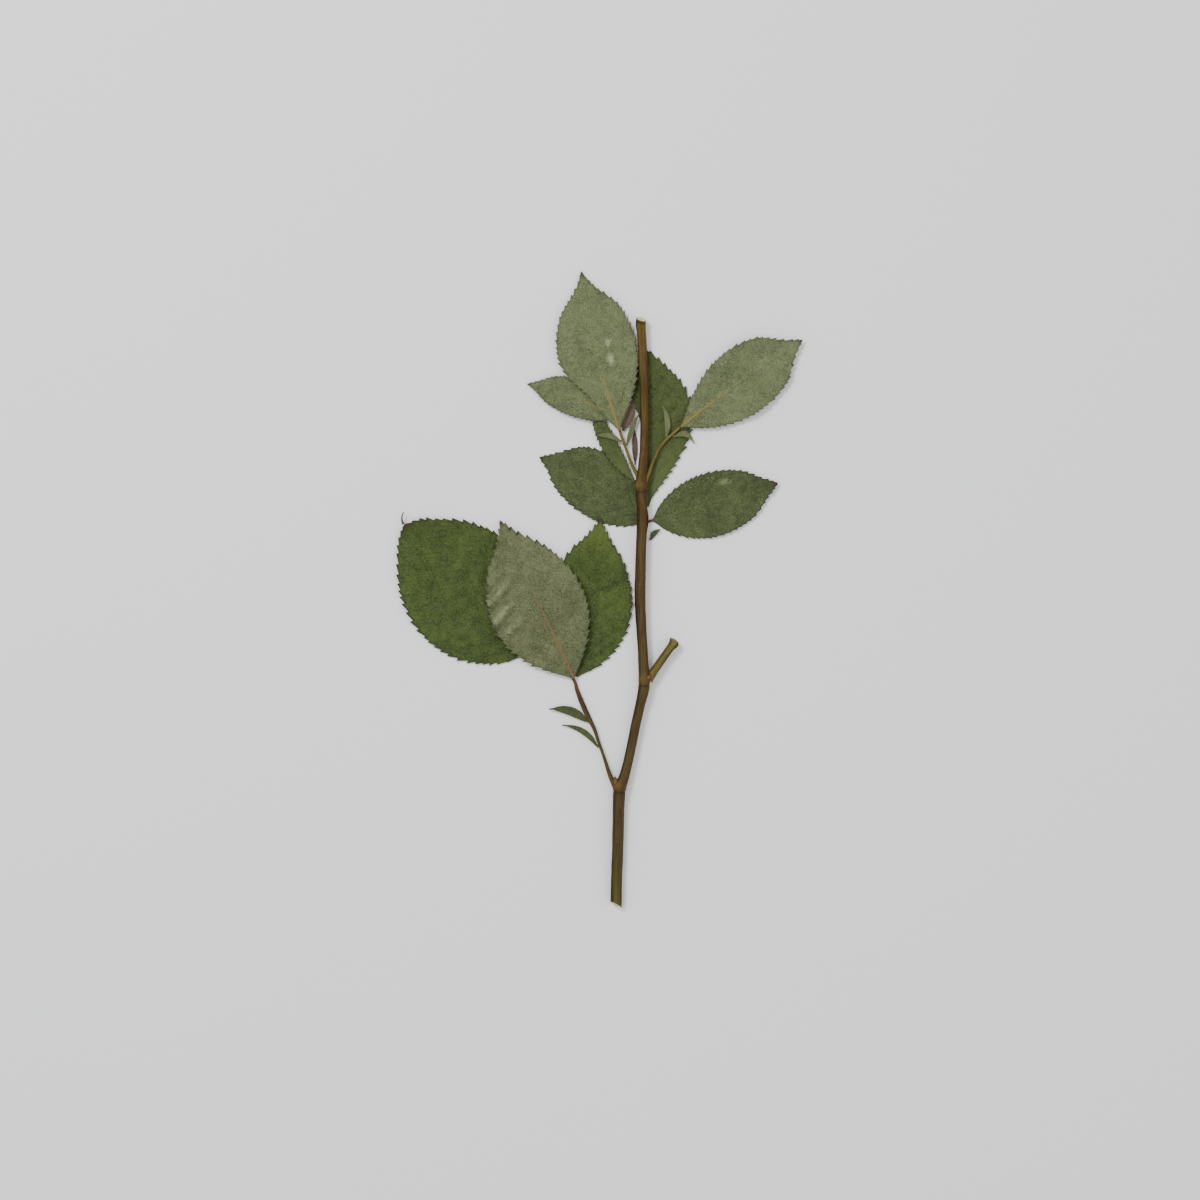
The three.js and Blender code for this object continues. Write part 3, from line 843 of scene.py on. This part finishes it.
# %% [markdown]
# ## Skins carried along a path
#
# Bark is a ring of points carried along the axis. Its radius carries the grain: long low ridges
# that wander round the stem. Each point also carries its straightened place, as if the stem were
# laid out straight, so that a pattern can follow every bend without a seam.

# %% Carried skin
def ridges(angle, along, seed, rounds, lengths):
    """Long ridges: 24 waves added and divided by 8, each with a whole number of turns round the
    rod and its own slow drift along it."""
    rng = np.random.default_rng(seed)
    total = np.zeros(np.broadcast(angle, along).shape)
    for _ in range(24):
        turns = rng.integers(*rounds)
        length = rng.uniform(*lengths) * MM
        total += np.sin(turns * angle + 2 * np.pi * along / length + rng.uniform(0, 6.283))
    return total / 8.0


CUT_EASE = 3 * MM


def carried_skin(axis, radii, shape, cut_start=(0.0, 0.0), cut_end=(0.0, 0.0), cap_rings=6):
    """A round skin with flat or slanting cut ends. shape gives the number of sides, the pace
    along the axis, the radius from (angle, along, read radius, length) and the marks to carry;
    each cut is its slope towards the top and towards the right, eased in over 3 mm."""
    sides = shape["sides"]
    travelled = np.concatenate([[0], np.cumsum(np.linalg.norm(np.diff(axis, axis=0), axis=1))])
    count = int(travelled[-1] / shape["pace"])
    at = np.linspace(0, 1, count + 1)
    dense, radius = between(axis, at), between(radii[:, None], at)[:, 0]
    gone = np.concatenate([[0], np.cumsum(np.linalg.norm(np.diff(dense, axis=0), axis=1))])
    forward = np.gradient(dense, axis=0)
    forward /= np.linalg.norm(forward, axis=1, keepdims=True)
    right = np.cross(forward, [0.0, 0.0, 1.0])
    right /= np.linalg.norm(right, axis=1, keepdims=True)
    above = np.cross(right, forward)
    angle = np.arange(sides) / sides * 2 * np.pi
    skin = shape["radius"](angle[None, :], gone[:, None], radius[:, None], gone[-1])
    marks = {label: np.broadcast_to(mark(angle[None, :], gone[:, None], gone[-1]), skin.shape)
             for label, mark in shape["marks"].items()}
    inward = np.linspace(1, 0, cap_rings + 1)[1:-1]
    rings = np.vstack([inward[::-1, None] * skin[0], skin, inward[:, None] * skin[-1]])
    ends = np.concatenate([np.zeros(len(inward), int), np.arange(count + 1), np.full(len(inward), count)])
    aside, upward = rings * np.cos(angle), rings * np.sin(angle)
    near_start = np.clip(1 - gone[ends] / CUT_EASE, 0, 1)[:, None]
    near_end = np.clip(1 - (gone[-1] - gone[ends]) / CUT_EASE, 0, 1)[:, None]
    slide = near_start * (cut_start[0] * upward + cut_start[1] * aside)
    slide = slide - near_end * (cut_end[0] * upward + cut_end[1] * aside)
    place = (dense[ends][:, None, :] + right[ends][:, None, :] * aside[..., None]
             + above[ends][:, None, :] * upward[..., None] + forward[ends][:, None, :] * slide[..., None])
    rows = len(rings)
    quads = grid_quads(rows, sides, wrap=True)
    caps = [dense[0], dense[-1]]
    points = np.vstack([place.reshape(-1, 3), caps])
    ring = np.arange(sides)
    following = (ring + 1) % sides
    first, last = rows * sides, rows * sides + 1
    fans = [(first, b, a) for a, b in zip(ring.tolist(), following.tolist())]
    high = (rows - 1) * sides
    fans += [(last, high + a, high + b) for a, b in zip(ring.tolist(), following.tolist())]
    bark_rows = np.zeros(rows - 1)
    bark_rows[: len(inward)] = 1
    bark_rows[rows - 1 - len(inward):] = 1
    slots = np.concatenate([np.repeat(bark_rows, sides), np.ones(len(fans))])
    share = np.concatenate([inward[::-1], np.ones(count + 1), inward])
    straight = np.dstack([aside, upward, np.broadcast_to(gone[ends][:, None], aside.shape)])
    values = {
        "straight": np.vstack([straight.reshape(-1, 3), [[0, 0, 0], [0, 0, gone[-1]]]]),
        "across_cut": np.concatenate([np.repeat(share, sides), [0, 0]]),
        "way": np.concatenate([np.repeat(gone[ends] / gone[-1], sides), [0, 1]]),
    }
    for label, mark in marks.items():
        values[label] = np.concatenate([mark[ends].ravel(), [0, 0]])
    return points, quads.tolist() + fans, slots, values


# %% [markdown]
# ## Bark and cut wood
#
# The bark dried to a dull brown, warmer at the top and olive near the butt, with fine lengthwise streaks
# and a few rubbed, paler scars. Both flanks of each rod carry painted shade. A cut end shows a thin green
# rim, cream wood and a soft pith.

# %% Bark finish
def bark_material(name, stages, dark_streak_and_shade, streak_light, scar, looks):
    """Bark along a rod. stages are (share of the way, colour) pairs; the streaks follow the straightened
    place, squeezed along the rod so that they run lengthwise. Both flanks of the rod get painted shade: the
    left flank in the dark streak colour, the right flank in the looks' warm colour."""
    material, tree, shader = new_finish(name)
    straight = carried(tree, "straight", "Vector")
    way = carried(tree, "way")
    squeezed = add(tree, "ShaderNodeMapping", {"Vector": straight, "Scale": (1.0, 1.0, looks["squeeze"])})
    fibres = place_group(tree, MOTTLE, Place=squeezed.outputs[0], Grain=2600.0, Detail=4.0)["Mask"]
    bands = place_group(tree, MOTTLE, Place=squeezed.outputs[0], Grain=620.0, Detail=3.0)["Mask"]
    patches = place_group(tree, MOTTLE, Place=straight, Grain=260.0, Detail=5.0)["Mask"]
    sway = maths(tree, "ADD", way, maths(tree, "MULTIPLY", maths(tree, "SUBTRACT", patches, 0.5), 0.03))
    ladder = colour_ladder(tree, sway, stages)
    streaks = maths(tree, "MULTIPLY", bands, looks["bands"])
    colour = blend(tree, streaks, ladder, linear(*dark_streak_and_shade))
    colour = blend(tree, maths(tree, "MULTIPLY", fibres, looks["fibres"]), colour, linear(*streak_light))
    worn = maths(tree, "MULTIPLY", ramp(tree, patches, 0.74, 0.98), looks["scars"])
    colour = blend(tree, worn, colour, linear(*scar))
    dots = place_group(tree, SPECKS, Place=straight, Grain=520.0, Size=0.22, Share=0.22)["Mask"]
    colour = blend(tree, maths(tree, "MULTIPLY", dots, looks["dots"]), colour, linear(*scar))
    # Painted shade on the flanks: towards the left edge the bark turns to the dark streak colour, towards
    # the right edge to the warm colour, by the distance from the axis.
    aside = add(tree, "ShaderNodeSeparateXYZ", {0: straight}).outputs["X"]
    wander = maths(tree, "MULTIPLY", maths(tree, "SUBTRACT", bands, 0.5), 0.5)
    left = ramp(tree, maths(tree, "ADD", maths(tree, "DIVIDE", aside, -looks["half"]), wander), 0.35, 0.95)
    right = ramp(tree, maths(tree, "ADD", maths(tree, "DIVIDE", aside, looks["half"]), wander), 0.4, 0.95)
    colour = blend(tree, maths(tree, "MULTIPLY", left, looks["left"]), colour, linear(*dark_streak_and_shade))
    colour = blend(tree, maths(tree, "MULTIPLY", right, looks["right"]), colour, linear(*looks["warm"]))
    collar = carried(tree, "collar")
    crease = carried(tree, "crease")
    uneven = maths(tree, "MULTIPLY", collar, ramp(tree, fibres, 0.0, 0.8, 0.45, 1.0))
    colour = blend(tree, uneven, colour, linear(*looks["collar"]))
    colour = blend(tree, crease, colour, linear(30, 21, 12))
    tree.links.new(colour, shader.inputs["Base Color"])
    rough = ramp(tree, fibres, 0.0, 1.0, looks["rough"] + 0.1, looks["rough"] - 0.06)
    tree.links.new(rough, shader.inputs["Roughness"])
    relief = maths(tree, "ADD", fibres, maths(tree, "MULTIPLY", bands, 1.2))
    push_normal(tree, shader, relief, 0.6, 0.10 * MM)
    shader.inputs["Specular IOR Level"].default_value = 0.16
    return material


def cut_material(name, rim, wood, pith):
    """Cut wood: pith, wood and rim by the share of the way from the middle to the bark, made uneven by a
    fine mottled grain that also tints it towards the rim colour."""
    material, tree, shader = new_finish(name)
    share = carried(tree, "across_cut")
    straight = carried(tree, "straight", "Vector")
    grain = place_group(tree, MOTTLE, Place=straight, Grain=3000.0, Detail=3.0)["Mask"]
    uneven = maths(tree, "ADD", share, maths(tree, "MULTIPLY", maths(tree, "SUBTRACT", grain, 0.5), 0.12))
    stages = ((0.0, pith), (0.26, pith), (0.36, wood), (0.82, wood), (0.93, rim))
    ladder = colour_ladder(tree, uneven, stages)
    colour = blend(tree, maths(tree, "MULTIPLY", grain, 0.25), ladder, linear(*rim))
    tree.links.new(colour, shader.inputs["Base Color"])
    push_normal(tree, shader, grain, 0.5, 0.08 * MM)
    shader.inputs["Roughness"].default_value = 0.8
    return material


# left and right set how strong the painted shade on the two flanks is, half is the half-width it grows
# over, and warm is the colour of the right flank's painted shade.
STEM_LOOKS = {"squeeze": 0.05, "bands": 0.7, "fibres": 0.44, "scars": 0.12, "dots": 0.08, "rough": 0.6,
              "collar": (104, 80, 36), "half": 1.75 * MM, "left": 0.85, "right": 0.6, "warm": (64, 42, 26)}
STALK_LOOKS = {"squeeze": 0.10, "bands": 0.45, "fibres": 0.35, "scars": 0.2, "dots": 0.1, "rough": 0.58,
               "collar": (104, 78, 36), "half": 0.6 * MM, "left": 0.5, "right": 0.4, "warm": (70, 54, 24)}
TWIG_LOOKS = {**STALK_LOOKS, "half": 1.3 * MM, "left": 0.85, "right": 0.75, "warm": (56, 50, 16)}

STEM_BARK = bark_material(
    "stem bark", ((0.0, (84, 92, 14)), (0.05, (80, 84, 14)), (0.10, (70, 56, 18)), (0.32, (68, 54, 14)),
                  (0.55, (76, 62, 18)), (0.72, (84, 58, 20)), (0.82, (84, 58, 6)), (1.0, (94, 72, 4))),
    (34, 22, 7), (103, 87, 53), (124, 100, 78), STEM_LOOKS)
TWIG_BARK = bark_material(
    "twig bark", ((0.0, (112, 100, 34)), (0.3, (98, 92, 22)), (0.8, (92, 82, 20)), (1.0, (96, 74, 26))),
    (48, 46, 6), (146, 130, 76), (146, 128, 88), TWIG_LOOKS)
RED_STALK = bark_material(
    "stalk, reddish", ((0.0, (100, 62, 42)), (0.28, (90, 52, 36)), (0.40, (56, 36, 22)),
                       (0.55, (62, 52, 16)), (0.70, (58, 58, 10)), (0.88, (66, 60, 14)),
                       (1.0, (110, 82, 38))),
    (30, 22, 6), (112, 90, 56), (126, 100, 66), STALK_LOOKS)
TAN_STALK = bark_material(
    "stalk, tan", ((0.0, (108, 94, 44)), (0.4, (96, 84, 30)), (0.75, (80, 76, 18)), (1.0, (88, 78, 22))),
    (46, 40, 10), (140, 122, 70), (134, 114, 74), STALK_LOOKS)
DARK_STALK = bark_material(
    "stalk, dark", ((0.0, (80, 44, 28)), (0.2, (66, 44, 24)), (0.7, (58, 48, 20)), (1.0, (50, 40, 16))),
    (30, 22, 8), (76, 60, 36), (90, 70, 48), STALK_LOOKS)
CUT_WOOD = cut_material("cut wood", (104, 88, 40), (226, 212, 150), (208, 190, 128))

BROKEN_WOOD = cut_material("broken twig wood", (66, 58, 20), (112, 100, 48), (84, 70, 34))

# %% [markdown]
# ## The stem, the twig and the stalks
#
# The stem's top was snipped so that its cut looks up, and the butt was cut aslant. A stalk starts
# under its leaf and ends in the bark, and its foot swells where it clasped the stem.

# %% Stem
def hump(value, middle, spread):
    """exp(-((value - middle) / spread)^2)."""
    return np.exp(-(((value - middle) / spread) ** 2))


def arc_at(y):
    """How far along the stem, from the butt, its axis passes the height y."""
    path = stem_axis[::-1]
    gone = np.concatenate([[0], np.cumsum(np.linalg.norm(np.diff(path, axis=0), axis=1))])
    return np.interp(y, path[:, 1], gone)


# The nodes, where stalks and twig leave the stem: each has a swollen collar with a crease below.
COLLARS = [(arc_at(-0.0685), 1.3, 0.05), (arc_at(-0.0312), 1.5, 0.05), (arc_at(0.0366), 1.5, 0.13),
           (arc_at(0.0505), 0.6, 0.03), (arc_at(0.0472), 0.5, 0.03)]
CREASES = [arc_at(-0.0702), arc_at(-0.0330), arc_at(0.0347)]


def stem_radius(angle, along, radius, length):
    """The read radius, times ridges, collars and creases, with a torn lip at the top."""
    broad = 0.022 * ridges(angle, along, 31, (3, 9), (20, 70))
    grain = broad + 0.014 * ridges(angle, along, 32, (9, 26), (8, 40))
    knots = 0.02 * ridges(angle, along, 33, (0, 2), (6, 20))
    swell = sum(size * hump(along, place, spread * MM) for place, spread, size in COLLARS)
    pinch = sum(0.07 * hump(along, place, 0.3 * MM) for place in CREASES)
    lip = 0.16 * hump(along, length, 1.2 * MM) * (0.5 - 0.5 * np.cos(angle))
    return radius * (1 + grain + knots + swell - pinch + lip)


def stem_collar(angle, along, length):
    """Tan corky patches: strong on the three nodes, weak on the two small scars higher up."""
    upper = np.clip(0.45 + 0.4 * np.sin(angle - 0.9) + 0.25 * np.sin(3 * angle + 1.0), 0, 1)
    patches = sum(min(16 * size, 0.95) * hump(along, place, 1.1 * spread * MM)
                  for place, spread, size in COLLARS)
    return patches * upper


def stem_crease(angle, along, length):
    """Dark lines under the nodes and under the cut at the top."""
    lines = sum(0.8 * hump(along, place - 0.5 * MM * np.sin(angle), 0.32 * MM) for place in CREASES)
    return np.clip(lines + 0.75 * hump(along, length - 0.9 * MM, 0.55 * MM), 0, 1)


STEM_FULLNESS, TWIG_FULLNESS = 1.06, 1.25
STEM_SHAPE = {"sides": 96, "pace": 0.42 * MM, "radius": stem_radius,
              "marks": {"collar": stem_collar, "crease": stem_crease}}
points, faces, slots, values = carried_skin(stem_axis[::-1], STEM_FULLNESS * stem_radii[::-1], STEM_SHAPE,
                                            cut_start=(0.25, -0.5), cut_end=(0.34, 0.05))
make_piece("main_stem_bark", points, faces, [STEM_BARK, CUT_WOOD], slots, values, "main_stem")
print("main_stem_bark points:", len(points))


# %% Twig and stalks
def stalk_shape(sides, pace, groove, swell, seed, flare=0.0, winged=None):
    """A stalk with a shallow groove along its top, faint ridges and a swollen foot. flare widens
    the free end; winged is the share of the way round which a stipule's seam broadens it."""
    def radius(angle, along, radius, length):
        upper = np.exp(-(((angle - np.pi / 2) / 0.5) ** 2))
        foot = swell * step(length - 4.5 * MM, length - 0.5 * MM, along)
        free = flare * (1 - step(0.0, 3.0 * MM, along))
        seam = 0.0 if winged is None else 0.8 * hump(along / length, winged, 0.13) * np.cos(angle) ** 2
        grain = 0.03 * ridges(angle, along, seed, (2, 8), (6, 25))
        return radius * (1 - groove * upper + foot + free + seam + grain)

    def collar(angle, along, length):
        return 0.8 * step(length - 4.0 * MM, length - 1.0 * MM, along) * (swell > 0)

    def crease(angle, along, length):
        return 0.0 * along
    return {"sides": sides, "pace": pace, "radius": radius, "marks": {"collar": collar, "crease": crease}}


def drawn_in(axis, length, reach):
    """The last length of a stalk bends in to the stem's axis by up to reach, level with the floor,
    so that its foot runs into the bark."""
    to_go = np.linalg.norm(axis - axis[-1], axis=1)
    apart = stem_axis[None, :, :2] - axis[:, None, :2]
    nearest = apart[np.arange(len(axis)), np.linalg.norm(apart, axis=2).argmin(axis=1)]
    far = np.maximum(np.linalg.norm(nearest, axis=1, keepdims=True), 1e-6)
    bend = (1 - step(0.0, length, to_go))[:, None] * np.minimum(reach, far)
    moved = axis.copy()
    moved[:, :2] += nearest / far * bend
    return moved


STALKS = {
    "side_twig_stub": (
        TWIG_BARK, "twig_bark", stalk_shape(48, 0.25 * MM, -0.14, 0.18, 41, flare=0.3), (0.3, -0.45)),
    "lower_leaf_stalk": (
        RED_STALK, "stalk", stalk_shape(32, 0.25 * MM, 0.18, 0.0, 42, winged=0.45), (0.0, 0.0)),
    "middle_leaf_stalk": (DARK_STALK, "stalk", stalk_shape(24, 0.35 * MM, 0.1, 0.0, 43), (0.0, 0.0)),
    "upper_left_stalk": (TAN_STALK, "stalk", stalk_shape(32, 0.25 * MM, 0.18, 0.2, 44), (0.0, 0.0)),
    "upper_right_stalk": (TAN_STALK, "stalk", stalk_shape(32, 0.25 * MM, 0.18, 0.1, 45), (0.0, 0.0)),
}

for node, (finish, slot, shape, slant) in STALKS.items():
    axis, radii = read_rod(node, stem_axis, 0.5 * MM, 1.2 * MM)
    if node == "side_twig_stub":
        radii = TWIG_FULLNESS * radii
    elif node == "middle_leaf_stalk":
        axis = drawn_in(axis, 400 * MM, 0.95 * MM)
    else:
        axis = drawn_in(axis, 7 * MM, 1.1 * MM)
    points, faces, slots, values = carried_skin(axis, radii, shape, cut_start=slant)
    make_piece(f"{node}_bark", points, faces, [finish, BROKEN_WOOD], slots, values, node)
    print(node, "axis points:", len(axis), "points:", len(points))

# %% [markdown]
# ## The dry bud and the bud scale
#
# In the angle of the lowest stalk sits a dry bud, and one scale is left at the twig's foot. Each
# is a small pointed body wrapped in overlapping scales: a ring carried along a short line, whose
# radius jumps a little where one scale ends over the next.

# %% Buds
def bud_material():
    """Dry bud scales: tan, browner towards the tips, with fine lengthwise lines."""
    material, tree, shader = new_finish("bud scales")
    way = carried(tree, "way")
    straight = carried(tree, "straight", "Vector")
    squeezed = add(tree, "ShaderNodeMapping", {"Vector": straight, "Scale": (1.0, 1.0, 0.2)})
    lines = place_group(tree, MOTTLE, Place=squeezed.outputs[0], Grain=3200.0, Detail=3.0)["Mask"]
    colour = blend(tree, ramp(tree, way, 0.2, 1.0), linear(104, 78, 36), linear(66, 46, 20))
    colour = blend(tree, maths(tree, "MULTIPLY", lines, 0.45), colour, linear(64, 42, 22))
    tree.links.new(colour, shader.inputs["Base Color"])
    push_normal(tree, shader, lines, 0.5, 0.08 * MM)
    shader.inputs["Roughness"].default_value = 0.6
    return material


BUD_SCALES = bud_material()


def bud_points(node, heading):
    """A bud inside its node's box: a line across the box along that heading (radians from +Y),
    ringed at radius sin(pi u^0.8)^0.9, fuller at the foot, with a low step that winds round it
    3.2 times where scales end."""
    low, high = (np.array(corner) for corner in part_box(node))
    middle, half = (low + high) / 2, (high - low) / 2
    ahead = np.array([-np.sin(heading), np.cos(heading), 0.0])
    beside = np.array([ahead[1], -ahead[0], 0.0])
    rows, sides = 42, 36
    u = np.linspace(0.0, 1.0, rows)
    angle = np.arange(sides) / sides * 2 * np.pi
    body = np.sin(np.pi * u**0.8)[:, None] ** 0.9
    turn = (3.2 * u[:, None] + angle[None, :] / (2 * np.pi)) % 1.0
    scales = 1 + 0.13 * (1 - turn) ** 2 * np.minimum(8 * turn, 1)
    radius = body * scales * half[0] * 0.98
    flat = half[2] / half[0]
    along = (2 * u - 1) * half[1] * 1.05
    place = (middle + along[:, None, None] * ahead + (radius * np.cos(angle))[..., None] * beside
             + (radius * np.sin(angle) * flat)[..., None] * np.array([0.0, 0.0, 1.0]))
    first, last = middle - 1.05 * half[1] * ahead, middle + 1.05 * half[1] * ahead
    points = np.vstack([place[1:-1].reshape(-1, 3), first, last])
    inner = rows - 2
    quads = grid_quads(inner, sides, wrap=True)
    ring = np.arange(sides)
    following = (ring + 1) % sides
    foot = np.stack([np.full(sides, inner * sides), following, ring], axis=1)
    high_ring = (inner - 1) * sides
    tip = np.stack([np.full(sides, inner * sides + 1), high_ring + ring, high_ring + following], axis=1)
    way_along = np.repeat(along[:, None], sides, 1)
    straight = np.dstack([radius * np.cos(angle), radius * np.sin(angle), way_along])
    values = {"way": np.concatenate([np.repeat(u[1:-1], sides), [0, 1]]),
              "straight": np.vstack([straight[1:-1].reshape(-1, 3), [[0, 0, along[0]], [0, 0, along[-1]]]])}
    return points, quads.tolist() + foot.tolist() + tip.tolist(), values


for node, heading in (("lower_axil_bud", 0.15), ("twig_base_scale", -0.55)):
    points, faces, values = bud_points(node, heading)
    make_piece(f"{node}_scales", points, faces, [BUD_SCALES], np.zeros(len(faces)), values, node)
    print(node, "points:", len(points))

# %% [markdown]
# ## Small dry parts
#
# Two pinkish-brown sheets between the upper left leaf and the stem are painted shadow: they stand for the
# shaded floor seen through the gaps there. The end leaflet keeps a curled thread at its tip, and a short
# reddish neck joins the middle leaf's right leaflet to its stalk. All four are placed from the leaflets and
# the stem next to them.

# %% Painted shadow sheets
def narrow_blade(start, end, half_width, height, count=11):
    """A blade like the ones read back, from two points: half-width half_width sin(pi s)^0.6."""
    start, end = np.array(start), np.array(end)
    length = np.linalg.norm(end - start)
    chord = (end - start) / length
    s = np.linspace(0, 1, count)
    wide = half_width * (np.sin(np.pi * np.clip(s, 0.02, 0.98)) ** 0.6)
    lift = np.full((count, 3), height)
    return {"base": start, "chord": chord, "rightward": np.array([chord[1], -chord[0]]), "length": length,
            "left": -wide, "middle": 0.15 * wide, "right": wide, "under": lift, "over": lift + 0.2 * MM}


def stem_middle(y):
    """The stem's axis at the height y, as x and y."""
    path = stem_axis[::-1]
    return np.array([np.interp(y, path[:, 1], path[:, 0]), y])


# Painted shadow sheets laid in the gaps beside the stem: start, end, half-width, height and seed.
SHADOW_SHEETS = {
    "shadow_sheet_long": (stem_middle(0.0445) + [-0.0027, 0], stem_middle(0.0560) + [-0.0034, 0],
                   0.8 * MM, 0.3 * MM, 61),
    "shadow_sheet_broad": (stem_middle(0.0562) + [-0.0072, 0], stem_middle(0.0675) + [-0.0042, 0],
                    1.9 * MM, 0.9 * MM, 62),
}
for name, (start, end, wide, height, seed) in SHADOW_SHEETS.items():
    form = {**SMALL, "seed": seed, "crinkle": 0.2 * MM}
    points, faces, slots, values = leaf_sheet(narrow_blade(start, end, wide, height), form)
    make_piece(name, points, faces, [SHADOW_GAP_FINISH, SHADOW_GAP_FINISH], slots, values, None)
    print(name, "points:", len(points))


# %% Threads and necks
def thread(name, path, radii, finish):
    """A thin round strand along a short path."""
    shape = stalk_shape(14, 0.12 * MM, 0.0, 0.0, 71)
    points, faces, slots, values = carried_skin(np.array(path), np.array(radii), shape, cap_rings=2)
    make_piece(name, points, faces, [finish, finish], slots, values, None)
    print(name, "points:", len(points))


def on_blade(node, stalk, along, side, up):
    """A point near a leaflet: along is metres past its tip (or before its base if negative)."""
    blade = read_blade(node, stalk)
    start = blade["base"] + blade["chord"] * (blade["length"] if along >= 0 else 0.0)
    flat = start + blade["chord"] * along + blade["rightward"] * side
    row = -1 if along >= 0 else 0
    return np.array([*flat, blade["over"][row].mean() - 0.15 * MM + up])


TIP = ("lower_leaf_end_leaflet", "lower_leaf_stalk")
curl = [
    on_blade(*TIP, 0.0 * MM, 0.0, 0),
    on_blade(*TIP, 0.9 * MM, 0.3 * MM, 0),
    on_blade(*TIP, 1.9 * MM, 1.1 * MM, 0.1 * MM),
    on_blade(*TIP, 2.6 * MM, 2.1 * MM, 0.3 * MM),
    on_blade(*TIP, 2.8 * MM, 3.2 * MM, 0.5 * MM),
]
curl_radii = [0.5 * MM, 0.36 * MM, 0.28 * MM, 0.22 * MM, 0.12 * MM]
thread("end_leaflet_thread", curl, curl_radii, DARK_STALK)

NECK = ("middle_leaf_right_leaflet", "middle_leaf_stalk")
neck_start = on_blade(*NECK, -0.1 * MM, 0.0, 0) + np.array([0.4 * MM, 0.1 * MM, 0.0])
neck_end = np.array([*(stem_middle(neck_start[1] - 0.9 * MM) + [0.0012, 0.0]), neck_start[2]])
neck = [neck_start + (neck_end - neck_start) * share for share in (0.0, 0.3, 0.65, 1.0)]
thread("right_leaflet_neck", neck, [0.3 * MM, 0.42 * MM, 0.5 * MM, 0.55 * MM], RED_STALK)
